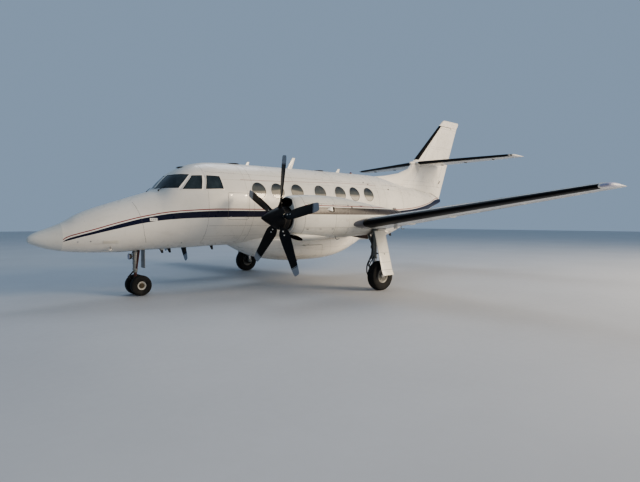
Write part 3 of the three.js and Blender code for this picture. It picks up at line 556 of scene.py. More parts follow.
def dressed(node, form, cuts, covers=()):
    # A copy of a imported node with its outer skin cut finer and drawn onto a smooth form;
    # what lies under a cover is left as it is
    reach = skinLook["reach"]
    fine = bmesh.new()
    fine.from_mesh(frame["nodes"][node].data)
    bmesh.ops.remove_doubles(fine, verts=fine.verts, dist=skinLook["merge"])
    low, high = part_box(node)
    corners = [Vector((x, y, z)) for x in (low.x, high.x) for y in (low.y, high.y) for z in (low.z, high.z)]
    for place, normal in cuts:
        reaches = [normal.dot(corner - place) for corner in corners]
        if min(reaches) < 0 < max(reaches):
            whole = fine.verts[:] + fine.edges[:] + fine.faces[:]
            bmesh.ops.bisect_plane(fine, geom=whole, dist=1e-5, plane_co=place, plane_no=normal)
    bmesh.ops.dissolve_degenerate(fine, edges=fine.edges, dist=1e-5)
    fine.faces.index_update()
    fine.normal_update()
    drawn, skin, inner = {}, set(), []
    for face in fine.faces:
        middle = face.calc_center_median()
        place, facing, distance = form.nearest(middle)
        agree = face.normal.dot(facing)
        inner.append(float((middle - place).dot(facing) < -2 * reach or agree < -0.5))
        covered = any(cover.ray_cast(middle, facing, skinLook["coverReach"])[0] for cover in covers)
        if distance < reach and agree > skinLook["agree"] and not covered:
            skin.add(face.index)
            for vert in face.verts:
                if vert not in drawn:
                    drawn[vert] = form.nearest(vert.co)
    for vert, (place, _, distance) in drawn.items():
        if distance < 1.5 * reach:
            vert.co = place
    fine.verts.index_update()
    facingAt = {vert.index: found[1] for vert, found in drawn.items()}
    mesh = bpy.data.meshes.new(node)
    fine.to_mesh(mesh)
    fine.free()
    mesh.attributes.new("inner", "FLOAT", "FACE").data.foreach_set("value", inner)
    made = smoothed(linked("dressed_" + node, mesh), skinLook["smooth"])
    plain = Vector((0, 0, 0))
    normals = [facingAt[v] if face.index in skin else plain for face in mesh.polygons for v in face.vertices]
    mesh.normals_split_custom_set(normals)
    return made


def every(low, high, step):
    return np.arange(low + step / 2, high, step)


def tipOf(rows):
    return rows[0][0] + (rows[-1][0] - rows[0][0]) * np.sin(np.linspace(0, math.pi / 2, 16))


turn = circle(144)
noseStations = np.linspace(0.0, 1, 24) ** 2 * 0.6
bodyStations = [noseStations, every(0.6, 4.3, 0.04), every(4.3, 9, 0.2), every(9, 13.19, 0.05), [13.19]]
fuselageForm = Form(fuselageSkin(np.concatenate(bodyStations), turn))
podForm = Form(ovalSkin(pod, np.linspace(4.33, 9.0, 110), turn))
nacelleForm = Form(ovalSkin(nacelle, np.linspace(4.29, 7.85, 100), turn))
wingForm = Form([wingSkin(y) for y in [0.002, *np.linspace(0.5, 7.5, 15), *tipOf(wing["tip"])]], False)
tailForm = Form([tailSkin(y) for y in [0.0, *np.linspace(0.5, 3.0, 6), *tipOf(tailplane["tip"])]], False)
finForm = Form([finSkin(z) for z in [*np.linspace(2.45, 5.1, 24), *tipOf(finRows[2:])]], False)
print("smooth forms are ready")


def boxCuts(stations, heights, sides):
    return planes("x", atStation(stations)) + planes("z", every(*heights)) + planes("y", every(*sides))


def chordCuts(leading, chord, span, shares, upright=Vector((0, 0, 1))):
    # Planes through the lines that join equal shares of the chord at both ends of a surface
    made = []
    for share in shares:
        ends = [Vector((atStation(leading[i] + share * chord[i]), span[i], 0)) for i in (0, 1)]
        if upright.y:
            ends = [Vector((p.x, 0, p.y)) for p in ends]
        made.append((ends[0], (ends[1] - ends[0]).cross(upright).normalized()))
    return made


bodySteps = [every(0, 0.6, 0.04), every(0.6, 4.3, 0.085), every(4.3, 9, 0.47), every(9, 13.2, 0.12)]
fuselageCuts = boxCuts(np.concatenate(bodySteps), (0.96, 3.08, 0.06), (-0.99, 0.99, 0.06))
podCuts = boxCuts(every(4.3, 9.05, 0.1), (0.56, 1.4, 0.06), (-0.66, 0.66, 0.06))
nacelleCuts = boxCuts(every(4.29, 7.86, 0.08), (1.25, 2.2, 0.045), (2.1, 2.92, 0.045))
shares = (1 - np.cos(np.linspace(0, math.pi, 23)[1:-1])) / 2
wingCuts = chordCuts(wing["leading"], wing["chord"], (0, wing["halfSpan"]), shares)
wingCuts += planes("y", np.concatenate([every(0.4, 7.7, 0.5), tipOf(wing["tip"])]))
tailChord = [tailplane["trailing"] - leading for leading in tailplane["leading"]]
tailCuts = chordCuts(tailplane["leading"], tailChord, (0, tailplane["halfSpan"]), shares[::2])
tailCuts += planes("y", tipOf(tailplane["tip"]))
finCuts = planes("z", tipOf(finRows[2:]))
for pair in (finRows[1:3], finRows[0:2]):
    spans, leadings, chords, _ = zip(*pair)
    finCuts = chordCuts(leadings, chords, spans, shares[::2], Vector((0, 1, 0))) + finCuts

sides = {"port_": 1, "starboard_": -1}
cockpitPanes = ("windscreen", "direct_vision_window", "rear_cockpit_window")
paneTrees = [treeOf(frame["nodes"][side + pane].data) for side in sides for pane in cockpitPanes]
skins = {"fuselage": dressed("fuselage", fuselageForm, fuselageCuts, paneTrees)}
for form, cuts, nodes in (
    (fuselageForm, fuselageCuts, ["radome", "passenger_door", *("port_" + pane for pane in cockpitPanes)]),
    (podForm, podCuts, ["belly_pod", "pod_door"]),
    (nacelleForm, nacelleCuts, ["port_nacelle"]),
    (wingForm, wingCuts, ["port_wing", "port_flap", "port_aileron"]),
    (tailForm, tailCuts, ["port_tailplane", "port_elevator"]),
    (finForm, finCuts, ["fin", "rudder"]),
):
    for node in nodes:
        skins[node] = dressed(node, form, cuts)
for side, sign in sides.items():
    node = side + "spinner"
    skins[node] = dressed(node, Form(spinnerSkin(sign)), planes("x", atStation(every(3.664, 4.262, 0.03))))
print(f"{len(skins)} skins are drawn onto their smooth forms")


def layUv(obj, across):
    # The skin's own map: metres aft and metres around or outboard, for seams and rivets
    mesh = obj.data
    layer = mesh.uv_layers.new(name="skin")
    for face in mesh.polygons:
        middle = across(face.center, None)
        for loop in face.loop_indices:
            layer.data[loop].uv = across(mesh.vertices[mesh.loops[loop].vertex_index].co, middle)


def aroundBody(height, y=0.0):
    def across(point, middle):
        angle = math.atan2(point.z - height, point.y - y) + math.pi / 2
        angle = angle if angle < math.pi else angle - fullTurn
        if middle is not None and abs(angle - middle.y) > math.pi:
            angle += fullTurn if middle.y > 0 else -fullTurn
        return Vector((noseX - point.x, angle))

    return across


def outAlong(axis):
    return lambda point, middle: Vector((noseX - point.x, getattr(point, axis)))


for across, nodes in (
    (aroundBody(2.03), ("fuselage", "passenger_door")),
    (aroundBody(1.27), ("radome",)),
    (aroundBody(1.0), ("belly_pod", "pod_door")),
    (aroundBody(1.72, nacelle["y"]), ("port_nacelle",)),
    (outAlong("y"), ("port_wing", "port_flap", "port_aileron", "port_tailplane", "port_elevator")),
    (outAlong("z"), ("fin", "rudder")),
):
    for node in nodes:
        layUv(skins[node], across)
print("skin maps are laid")


# Materials: every one is built from Object coordinates or from a UV map laid along the skin
class Graph:
    def __init__(self, name):
        self.material = bpy.data.materials.new(name)
        self.material.use_nodes = True
        self.nodes = self.material.node_tree.nodes
        self.links = self.material.node_tree.links
        self.nodes.clear()
        self.place = self.add("ShaderNodeTexCoord").outputs["Object"]

    def add(self, kind, values=None, **settings):
        made = self.nodes.new(kind)
        for key, value in settings.items():
            setattr(made, key, value)
        for key, value in (values or {}).items():
            if isinstance(value, bpy.types.NodeSocket):
                self.links.new(value, made.inputs[key])
            else:
                made.inputs[key].default_value = value
        return made

    def math(self, operation, a, b=0.0, c=0.0, clamp=False):
        made = self.add("ShaderNodeMath", {0: a, 1: b, 2: c}, operation=operation, use_clamp=clamp)
        return made.outputs[0]

    def plus(self, a, b):
        return self.math("ADD", a, b)

    def minus(self, a, b):
        return self.math("SUBTRACT", a, b)

    def times(self, a, b):
        return self.math("MULTIPLY", a, b)

    def most(self, a, b):
        return self.math("MAXIMUM", a, b)

    def split(self):
        return self.add("ShaderNodeSeparateXYZ", {0: self.place}).outputs

    def noise(self, scale, detail=4.0, rough=0.55, stretch=None):
        place = self.place
        if stretch:
            place = self.add("ShaderNodeVectorMath", {0: place, 1: stretch}, operation="MULTIPLY").outputs[0]
        values = {"Vector": place, "Scale": scale, "Detail": detail, "Roughness": rough}
        return self.add("ShaderNodeTexNoise", values).outputs["Fac"]

    def ramp(self, value, low, high, to=(0.0, 1.0)):
        values = {"Value": value, "From Min": low, "From Max": high, "To Min": to[0], "To Max": to[1]}
        return self.add("ShaderNodeMapRange", values, interpolation_type="SMOOTHSTEP").outputs[0]

    def mix(self, share, a, b, blend="MIX"):
        made = self.add("ShaderNodeMix", data_type="RGBA", blend_type=blend)
        for key, value in ((0, share), (6, a), (7, b)):
            if isinstance(value, bpy.types.NodeSocket):
                self.links.new(value, made.inputs[key])
            else:
                made.inputs[key].default_value = value if key == 0 else (*value[:3], 1)
        return made.outputs[2]

    def toned(self, colour, tone):
        # A colour made darker or paler by a value
        shade = self.add("ShaderNodeCombineColor", {0: tone, 1: tone, 2: tone}).outputs[0]
        return self.mix(1.0, colour, shade, "MULTIPLY")

    def curve(self, value, rows):
        # A smooth curve through rows of (value, result)
        (low, high), (base, crest) = [(min(column), max(column)) for column in zip(*rows)]
        share = self.math("DIVIDE", self.minus(value, low), high - low, clamp=True)
        made = self.add("ShaderNodeFloatCurve", {"Value": share})
        points = made.mapping.curves[0].points
        for i, (at, result) in enumerate(rows):
            spot = ((at - low) / (high - low), (result - base) / (crest - base))
            if i in (0, len(rows) - 1):
                points[0 if i == 0 else len(points) - 1].location = spot
            else:
                points.new(*spot)
        made.mapping.update()
        return self.math("MULTIPLY_ADD", made.outputs[0], crest - base, base)

    def finish(self, colour, rough, height, depth, strength, **fixed):
        bump = self.add("ShaderNodeBump", {"Height": height, "Distance": depth, "Strength": strength})
        values = {"Base Color": colour, "Roughness": rough, "Normal": bump.outputs[0]}
        shader = self.add("ShaderNodeBsdfPrincipled", values)
        for key, value in fixed.items():
            shader.inputs[key.replace("_", " ").title().replace("Ior", "IOR")].default_value = value
        self.add("ShaderNodeOutputMaterial", {"Surface": shader.outputs[0]})
        return self.material


down = (1.0, 0.0)  # a ramp that falls
paintLook = {
    "white": (0.79, 0.755, 0.685),
    "navy": (0.0065, 0.008, 0.030),
    "red": (0.22, 0.012, 0.014),
    "grime": (0.20, 0.165, 0.12),
    "lining": (0.40, 0.385, 0.35),
    "frames": 0.48,
    "stringers": 0.24,
    "rivetPitch": 0.032,
    "rivetEdge": 0.014,
    "rivetRadius": (0.0022, 0.0034),
    "seamWidth": 0.006,
    "barrelFrom": (3.25, 3.45),  # lap joints run aft of the flight deck
}


def skinDetail(graph):
    # Lap joints and rivet rows from the UV map, which is in metres along and around the skin
    uv = graph.add("ShaderNodeUVMap", uv_map="skin").outputs[0]
    aft, around = graph.add("ShaderNodeSeparateXYZ", {0: uv}).outputs[0:2]
    width, pitch, edge = paintLook["seamWidth"], paintLook["rivetPitch"], paintLook["rivetEdge"]

    def pingpong(value, half):
        return graph.math("PINGPONG", value, half)

    def lines(value, spacing):
        return graph.ramp(pingpong(value, spacing * 3 / 2), width * 0.35, width * 0.75, down)

    def squares(a, b):
        return graph.plus(graph.math("POWER", a, 2), graph.math("POWER", b, 2))

    barrel = graph.ramp(aft, *paintLook["barrelFrom"])
    seams = graph.most(lines(aft, paintLook["frames"]), lines(around, paintLook["stringers"]))
    seams = graph.times(seams, barrel)
    dotAlong = pingpong(graph.plus(aft, pitch / 2), pitch / 2)
    dotAround = pingpong(graph.plus(around, pitch / 2), pitch / 2)
    rowAlong = pingpong(graph.plus(around, edge), paintLook["stringers"] / 2)
    rowAround = pingpong(graph.plus(aft, edge), paintLook["frames"] / 2)
    first = graph.plus(squares(dotAlong, rowAlong), graph.minus(1.0, barrel))
    second = squares(dotAround, rowAround)
    away = graph.math("SQRT", graph.math("MINIMUM", first, second))
    return seams, graph.ramp(away, *paintLook["rivetRadius"], down)


def weathered(graph, colour, seams=None, rivets=None, grime=0.35, rough=0.3, clean=None, **fixed):
    # Paint with uneven tone, streaks that run aft, grime low down, seams and rivets
    up = graph.split()[2]
    colour = graph.toned(colour, graph.ramp(graph.noise(0.9, 5), 0.3, 0.7, (0.93, 1.03)))
    streaks = graph.ramp(graph.noise(3.0, 6, 0.6, (0.35, 1.6, 1.6)), 0.50, 0.78)
    specks = graph.ramp(graph.noise(38, 3, 0.6), 0.60, 0.75)
    low = graph.ramp(up, 0.5, 2.0, (1.0, 0.25))
    dirt = graph.times(graph.math("MULTIPLY_ADD", specks, 0.25, streaks, clamp=True), low)
    share = graph.times(dirt, grime)
    height = graph.math("MULTIPLY_ADD", graph.noise(260, 2), 0.02, graph.times(graph.noise(1.6, 2), 0.8))
    uneven = graph.ramp(graph.noise(7, 5), 0.3, 0.7, (rough - 0.05, rough + 0.07))
    roughness = graph.math("MULTIPLY_ADD", dirt, 0.3, uneven)
    if seams is not None:
        blurred = graph.plus(graph.times(seams, 0.55), graph.times(rivets, 0.28))
        share = graph.most(share, graph.times(blurred, 0.9))
        height = graph.minus(height, graph.times(seams, 0.5))
        height = graph.minus(height, graph.times(rivets, 0.22))
    if clean is not None:
        share = graph.times(share, graph.math("MULTIPLY_ADD", clean, -0.85, 1.0))
    colour = graph.mix(share, colour, paintLook["grime"])
    return graph.finish(colour, roughness, height, 0.0022, 0.6, **fixed)


def paint(name, colour, seams, grime, rough):
    graph = Graph(name)
    detail = skinDetail(graph) if seams else (None, None)
    return weathered(graph, colour, *detail, grime, rough, coat_weight=0.35, coat_roughness=0.12)


stripeLook = {
    # station, height of the upper edge
    "navyTop": [
        (0.565, 1.222), (0.657, 1.283), (0.858, 1.349), (1.063, 1.409), (1.275, 1.476), (1.492, 1.544),
        (1.714, 1.608), (1.942, 1.669), (2.170, 1.718), (2.372, 1.757), (2.655, 1.796), (2.992, 1.824),
        (3.389, 1.847), (3.868, 1.860), (4.391, 1.865), (6.600, 1.889), (9.283, 1.927), (10.286, 1.981),
        (10.910, 2.043), (11.641, 2.152), (12.140, 2.250), (12.750, 2.412), (13.190, 2.450),
    ],
    # station, height of the lower edge
    "navyBottom": [
        (0.565, 1.218), (0.657, 1.244), (0.858, 1.303), (1.063, 1.356), (1.275, 1.411), (1.490, 1.464),
        (1.711, 1.518), (1.938, 1.570), (2.168, 1.611), (2.368, 1.641), (2.655, 1.668), (2.992, 1.689),
        (3.399, 1.703), (3.884, 1.716), (4.410, 1.722), (6.600, 1.744), (9.300, 1.775), (10.300, 1.810),
        (11.200, 1.900), (12.100, 2.040), (12.750, 2.200), (13.190, 2.300),
    ],
    "aftOfRadome": (0.566, 0.570),
    "redRise": 0.038,
    "redWidth": 0.019,
    "upperLine": [(4.219, 2.597), (4.821, 2.607), (6.007, 2.639), (8.004, 2.692), (8.897, 2.677)],
    "upperWidth": 0.007,
    "upperEnds": ((4.20, 4.22), (8.90, 8.92)),
    "softness": 0.0015,
}


def stationAndHeight(graph):
    x, _, up = graph.split()[0:3]
    return graph.minus(noseX, x), up


def band(graph, up, low, high):
    # 1 between two heights, 0 elsewhere
    soft = stripeLook["softness"]
    above = graph.ramp(graph.minus(up, low), -soft, soft)
    return graph.times(above, graph.ramp(graph.minus(high, up), -soft, soft))


def livery(name, base):
    # Fuselage paint: navy band, red pinstripe above it and a thin line over the windows
    graph = Graph(name)
    station, up = stationAndHeight(graph)
    look = stripeLook
    top, bottom = graph.curve(station, look["navyTop"]), graph.curve(station, look["navyBottom"])
    aftOfRadome = graph.ramp(station, *look["aftOfRadome"])
    navy = graph.times(band(graph, up, bottom, top), aftOfRadome)
    edges = [graph.plus(top, look["redRise"] + side * look["redWidth"] / 2) for side in (-1, 1)]
    red = graph.times(band(graph, up, *edges), aftOfRadome)
    line, half = graph.curve(station, look["upperLine"]), look["upperWidth"] / 2
    upper = band(graph, up, graph.minus(line, half), graph.plus(line, half))
    start, end = look["upperEnds"]
    upper = graph.times(upper, graph.times(graph.ramp(station, *start), graph.ramp(station, *end, down)))
    colour = graph.mix(navy, base, paintLook["navy"])
    colour = graph.mix(graph.most(red, upper), colour, paintLook["red"])
    # Walls inside the doorway, and the door's inner side, are lined and carry no stripes or rivets
    inner = graph.add("ShaderNodeAttribute", attribute_name="inner").outputs["Fac"]
    colour = graph.mix(inner, colour, paintLook["lining"])
    outer = graph.minus(1.0, inner)
    seams, rivets = [graph.times(mark, outer) for mark in skinDetail(graph)]
    fixed = {"coat_weight": 0.08, "coat_roughness": 0.12, "specular_ior_level": 0.26}
    return weathered(graph, colour, seams, rivets, clean=navy, **fixed)


cowlLook = {
    # station, height
    "bandLow": [(4.30, 1.762), (7.10, 1.773), (7.90, 1.778)],
    "bandHigh": [(4.30, 1.919), (7.10, 1.917), (7.90, 1.917)],
    "redLine": (1.945, 1.961),
    "band": (0.066, 0.053, 0.047),
    "from": (4.535, 4.539),
    "fades": (4.6, 6.8),
}


def cowlPaint(name, base):
    # Nacelle paint: a heat-browned band with the pinstripe above it
    graph = Graph(name)
    station, up = stationAndHeight(graph)
    low, high = graph.curve(station, cowlLook["bandLow"]), graph.curve(station, cowlLook["bandHigh"])
    aft = graph.ramp(station, *cowlLook["from"])
    paler = tuple(c * 0.62 for c in cowlLook["band"])
    faded = graph.mix(graph.ramp(station, *cowlLook["fades"]), cowlLook["band"], paler)
    colour = graph.mix(graph.times(band(graph, up, low, high), aft), base, faded)
    colour = graph.mix(graph.times(band(graph, up, *cowlLook["redLine"]), aft), colour, paintLook["red"])
    soot = graph.ramp(graph.noise(1.7, 5, 0.6, (0.5, 1, 1)), 0.45, 0.75)
    soot = graph.times(soot, graph.ramp(up, 1.25, 1.75, (0.5, 0.0)))
    colour = graph.mix(soot, colour, paintLook["grime"])
    fixed = {"coat_weight": 0.12, "coat_roughness": 0.14, "specular_ior_level": 0.35}
    return weathered(graph, colour, *skinDetail(graph), grime=0.5, **fixed)


def plainStuff(name, colour, rough, metal, grain, bump, wear, spots, specular):
    # Rubber, cast or machined metal and moulded plastic: grain, worn patches and dust
    graph = Graph(name)
    cloud = graph.noise(6.0, 6, 0.6)
    fine = graph.noise(grain, 5, 0.6)
    toned = graph.toned(colour, graph.ramp(cloud, 0.3, 0.7, (0.78, 1.12)))
    patches = graph.plus(cloud, graph.times(fine, 0.4))
    worn = graph.times(graph.ramp(patches, 0.72, 0.95), wear * 3)
    toned = graph.mix(graph.math("MINIMUM", worn, 0.8), toned, spots)
    roughness = graph.ramp(fine, 0.25, 0.75, (rough - 0.08, rough + 0.10))
    return graph.finish(toned, roughness, fine, 0.0008, bump, metallic=metal, specular_ior_level=specular)


def glassLook(name, tint):
    # Dark cockpit glass seen from outside: a clear hard coat over deep tint with faint smears
    graph = Graph(name)
    smear = graph.noise(5.0, 6, 0.65, (1, 1, 0.35))
    colour = graph.mix(graph.ramp(smear, 0.35, 0.75), tint, tuple(c * 1.8 + 0.01 for c in tint))
    roughness = graph.ramp(graph.noise(18, 6, 0.7), 0.4, 0.8, (0.035, 0.16))
    fixed = {"ior": 1.5, "specular_ior_level": 0.35}
    return graph.finish(colour, roughness, graph.noise(2.2, 2), 0.001, 0.25, **fixed)


paneTints = {
    "pale": (0.10, 0.105, 0.095),
    "dark": (0.030, 0.034, 0.036),
    "groundReflection": (0.36, 0.325, 0.26),
    "dust": (0.22, 0.2, 0.17),
    "reflectionDownTo": 2.25,
}


def paneLook(name):
    # Cabin pane: dark above, paler below where it mirrors the ground, and a beige painted reflection of the
    # ground over its lower part
    graph = Graph(name)
    up = graph.split()[2]
    level = graph.math("MULTIPLY_ADD", graph.noise(0.9, 0, 0.5, (1, 0, 0)), 0.22, paneTints["reflectionDownTo"])
    # a beige painted reflection of the ground below a wavy level
    groundReflection = graph.ramp(graph.minus(level, up), -0.03, 0.02)
    deep = graph.mix(graph.ramp(up, 2.40, 2.53), paneTints["pale"], paneTints["dark"])
    colour = graph.mix(groundReflection, deep, paneTints["groundReflection"])
    colour = graph.mix(graph.ramp(graph.noise(7, 4), 0.45, 0.8, (0.0, 0.35)), colour, paneTints["dust"])
    roughness = graph.ramp(graph.noise(14, 5, 0.7), 0.4, 0.8, (0.06, 0.22))
    fixed = {"ior": 1.5, "coat_weight": 0.6, "coat_roughness": 0.04}
    return graph.finish(colour, roughness, graph.noise(3, 2), 0.001, 0.2, **fixed)


bladeLook = {
    "tipFrom": 1.105,
    "lineFrom": 0.013,
    "lineTo": 0.021,
    "softness": 0.001,
    "tip": ((0.30, 0.315, 0.34), (0.26, 0.26, 0.27)),
    "black": ((0.006, 0.006, 0.0065), (0.013, 0.013, 0.014)),
    "chips": (0.16, 0.16, 0.165),
}


def bladePaint(name):
    # Black blades with pale tips and a thin line inboard of them, chipped along their noses
    graph = Graph(name)
    _, across, up = graph.split()[0:3]
    aside = graph.minus(graph.math("ABSOLUTE", across), propeller["y"])
    rise = graph.minus(up, propeller["z"])
    radius = graph.math("SQRT", graph.plus(graph.times(aside, aside), graph.times(rise, rise)))

    def beyond(start, to=(0.0, 1.0)):
        edge = bladeLook["tipFrom"] + start
        return graph.ramp(radius, edge - bladeLook["softness"], edge + bladeLook["softness"], to)

    tip = beyond(0)
    line = graph.times(beyond(bladeLook["lineFrom"]), beyond(bladeLook["lineTo"], down))
    share = graph.minus(tip, line)
    fine = graph.noise(55, 5, 0.65)
    cloud = graph.noise(5, 5, 0.6, (1, 1, 0.5))
    black = graph.mix(graph.ramp(cloud, 0.35, 0.75, (0.0, 0.8)), *bladeLook["black"])
    chips = graph.times(graph.ramp(fine, 0.66, 0.72), graph.ramp(radius, 0.35, 1.1, (0.1, 0.5)))
    black = graph.mix(chips, black, bladeLook["chips"])
    pale = graph.mix(graph.ramp(fine, 0.55, 0.75, (0.0, 0.7)), *bladeLook["tip"])
    colour = graph.mix(share, black, pale)
    roughness = graph.ramp(fine, 0.3, 0.7, (0.34, 0.50))
    return graph.finish(colour, roughness, fine, 0.0006, 0.2, specular_ior_level=0.22)


stuff = {
    "livery": livery("fuselage_paint", paintLook["white"]),
    "radome": livery("radome_paint", (0.67, 0.665, 0.62)),
    "nacelle": cowlPaint("nacelle_paint", (0.66, 0.645, 0.59)),
    "blade": bladePaint("blade_paint"),
    "pane": paneLook("cabin_pane"),
}
for key, name, tint in (
    ("glass", "cockpit_glass", (0.020, 0.029, 0.034)),
    ("redGlass", "red_lens", (0.12, 0.005, 0.004)),
    ("greenGlass", "green_lens", (0.004, 0.06, 0.022)),
    ("clearGlass", "clear_lens", (0.36, 0.36, 0.47)),
):
    stuff[key] = glassLook(name, tint)
for key, *settings in (
    # key, name, colour, seams and rivets, grime, roughness
    ("white", "white_paint", paintLook["white"], True, 0.35, 0.3),
    ("grey", "wing_paint", (0.70, 0.69, 0.655), True, 0.35, 0.3),
    ("trim", "trim_paint", paintLook["white"], False, 0.2, 0.3),
    ("leg", "leg_paint", (0.21, 0.22, 0.205), False, 0.7, 0.42),
    ("strut", "strut_paint", (0.27, 0.275, 0.265), False, 0.7, 0.42),
    ("glove", "glove_paint", (0.13, 0.13, 0.14), False, 0.6, 0.40),
    ("cream", "cream_paint", (0.74, 0.71, 0.63), False, 0.5, 0.38),
):
    stuff[key] = paint(*settings)
for key, *settings in (
    # key, name, colour, roughness, metal, grain, bump, wear, spots, specular level
    ("boot", "boot_rubber", (0.004, 0.005, 0.007), 0.42, 0, 90, 0.3, 0.05, (0.04, 0.04, 0.04), 0.12),
    ("tyre", "tyre_rubber", (0.0095, 0.0092, 0.009), 0.80, 0, 140, 0.5, 0.07, (0.12, 0.105, 0.085), 0.5),
    ("spinner", "spinner_paint", (0.008, 0.008, 0.009), 0.46, 0, 50, 0.12, 0.05, (0.05, 0.05, 0.05), 0.22),
    ("steel", "machined_steel", (0.55, 0.54, 0.52), 0.28, 1, 180, 0.1, 0.12, (0.25, 0.2, 0.16), 0.5),
    ("chrome", "oleo_chrome", (0.46, 0.46, 0.47), 0.26, 1, 220, 0.04, 0.12, (0.35, 0.30, 0.25), 0.5),
    ("exhaust", "heated_exhaust", (0.055, 0.034, 0.028), 0.55, 0.6, 70, 0.3, 0.12, (0.05, 0.03, 0.03), 0.5),
    # a near-black painted shade for the engine inside the nacelle
    ("bay", "bay_shadow", (0.05, 0.05, 0.045), 0.75, 0, 60, 0.3, 0.12, (0.25, 0.2, 0.15), 0.5),
    # a near-black painted shade for openings, ducts and pockets
    ("hole", "duct_shadow", (0.006, 0.006, 0.006), 0.85, 0, 60, 0.3, 0.02, (0.25, 0.2, 0.15), 0.1),
    ("rim", "rim_paint", (0.24, 0.235, 0.215), 0.42, 0.2, 90, 0.15, 0.12, (0.16, 0.12, 0.09), 0.5),
    ("rust", "worn_oleo", (0.085, 0.030, 0.024), 0.42, 0.4, 120, 0.2, 0.12, (0.30, 0.22, 0.17), 0.5),
    ("ring", "white_rim", (0.70, 0.67, 0.60), 0.42, 0, 110, 0.2, 0.2, (0.16, 0.11, 0.07), 0.5),
    ("dark", "dark_forging", (0.018, 0.018, 0.018), 0.5, 0, 120, 0.25, 0.15, (0.16, 0.14, 0.11), 0.4),
    ("hub", "nose_hub", (0.075, 0.060, 0.032), 0.45, 0.2, 120, 0.2, 0.12, (0.20, 0.16, 0.11), 0.5),
    ("hose", "hose_rubber", (0.020, 0.020, 0.022), 0.5, 0, 160, 0.3, 0.12, (0.1, 0.1, 0.1), 0.5),
    ("seam", "joint_shadow", (0.11, 0.095, 0.08), 0.7, 0, 80, 0.3, 0.12, (0.2, 0.17, 0.13), 0.5),
):
    stuff[key] = plainStuff(*settings)
print(f"{len(stuff)} materials are mixed")

for node, coat, body, slot in (
    ("fuselage", "livery", "airframe", "painted_skin"),
    ("radome", "radome", "airframe", "radome_skin"),
    ("passenger_door", "livery", "passenger_door", "painted_skin"),
    ("belly_pod", "white", "airframe", "painted_skin"),
    ("pod_door", "white", "pod_door", "painted_skin"),
    ("fin", "white", "airframe", "painted_skin"),
    ("rudder", "white", "rudder", "painted_skin"),
    ("port_spinner", "spinner", "port_propeller", "spinner_black"),
    ("starboard_spinner", "spinner", "starboard_propeller", "spinner_black"),
):
    fitted(skins[node], node + "_skin", coat, body, [node], slot)
for node, coat, body, slot in (
    *((pane, "glass", "airframe", "pane") for pane in cockpitPanes),
    ("nacelle", "nacelle", "airframe", "painted_skin"),
    ("wing", "grey", "airframe", "painted_skin"),
    ("flap", "grey", "flap", "painted_skin"),
    ("aileron", "grey", "aileron", "painted_skin"),
    ("tailplane", "grey", "airframe", "painted_skin"),
    ("elevator", "grey", "elevator", "painted_skin"),
):
    bothSides(skins["port_" + node], node + "_skin", coat, body, [node], slot)
print("skins are fitted on both sides")


# Laying flat pieces on a curved skin
def seen(form, spot, towards):
    # The skin met when looking at a spot along towards, and how it faces there
    spot, towards = Vector(spot), Vector(towards)
    flat = spot - towards * towards.dot(spot)
    place = form.tree.ray_cast(flat - towards * 20, towards)[0]
    return form.nearest(spot if place is None else place)[:2]


def laid(obj, form, towards):
    # Draws a piece modelled flat onto the form; its height out of the plane becomes its lift
    for vert in obj.data.vertices:
        lift = -Vector(towards).dot(vert.co)
        place, facing = seen(form, vert.co, towards)
        vert.co = place + facing * lift
    return obj


def ribbon(places, facings, profile, closed):
    # Sweeps an open profile of (aside, lift) points along a line that lies on a skin
    count, size = len(places), len(profile)
    verts, faces = [], []
    for i in range(count):
        before = places[i - 1] if i or closed else places[i]
        after = places[(i + 1) % count] if i < count - 1 or closed else places[i]
        forward, back = (after - places[i]), (places[i] - before)
        forward = forward if forward.length > 1e-9 else back
        back = back if back.length > 1e-9 else forward
        tangent = (forward.normalized() + back.normalized()).normalized()
        stretch = 1 / max(0.5, tangent.dot(forward.normalized()))
        aside = facings[i].cross(tangent).normalized() * stretch
        verts += [places[i] + aside * out + facings[i] * lift for out, lift in profile]
    for i in range(count if closed else count - 1):
        for j in range(size - 1):
            a, b = i * size + j, ((i + 1) % count) * size + j
            faces.append((a, a + 1, b + 1, b))
    return smoothed(outwards(meshOf("ribbon", verts, [], faces)), 40)


def raisedBand(half, lift, top=0.8, foot=hidden):
    # The section of a ribbon that stands a little proud of the skin
    return [(-half, foot), (-half * top, lift), (half * top, lift), (half, foot)]


seamLook = {"lift": 0.0013, "step": 0.035}


def seam(form, towards, points, width, closed=False, lift=seamLook["lift"]):
    # A panel joint or a raised band along a line drawn on the skin
    points = [Vector(p) for p in points] + ([Vector(points[0])] if closed else [])
    dense = []
    for start, end in zip(points, points[1:]):
        count = max(1, round((end - start).length / seamLook["step"]))
        dense += [start.lerp(end, i / count) for i in range(count)]
    places, facings = zip(*[seen(form, p, towards) for p in (dense if closed else dense + [points[-1]])])
    return ribbon(places, facings, raisedBand(width / 2, lift), closed)


def sideOn(rows):
    return [(atStation(station), 0, up) for station, up in rows]


def rounded(low, high, radius):
    # Corners of a rounded rectangle, given and returned in station and height
    made = []
    for i in range(4):
        station = low[0] + radius if i in (1, 2) else high[0] - radius
        up = high[1] - radius if i < 2 else low[1] + radius
        for step in range(6):
            angle = math.pi / 2 * (i + step / 5)
            made.append((station + radius * math.cos(angle), up + radius * math.sin(angle)))
    return made


def disc(x, z, halfWide, halfTall, sides=56):
    turned = (-math.pi / 2, 0, 0)
    bpy.ops.mesh.primitive_circle_add(
        vertices=sides, radius=1, fill_type="NGON", location=(x, 0, z), rotation=turned
    )
    bpy.context.object.scale = (halfWide, halfTall, 1)
    return applyPlace(bpy.context.object)


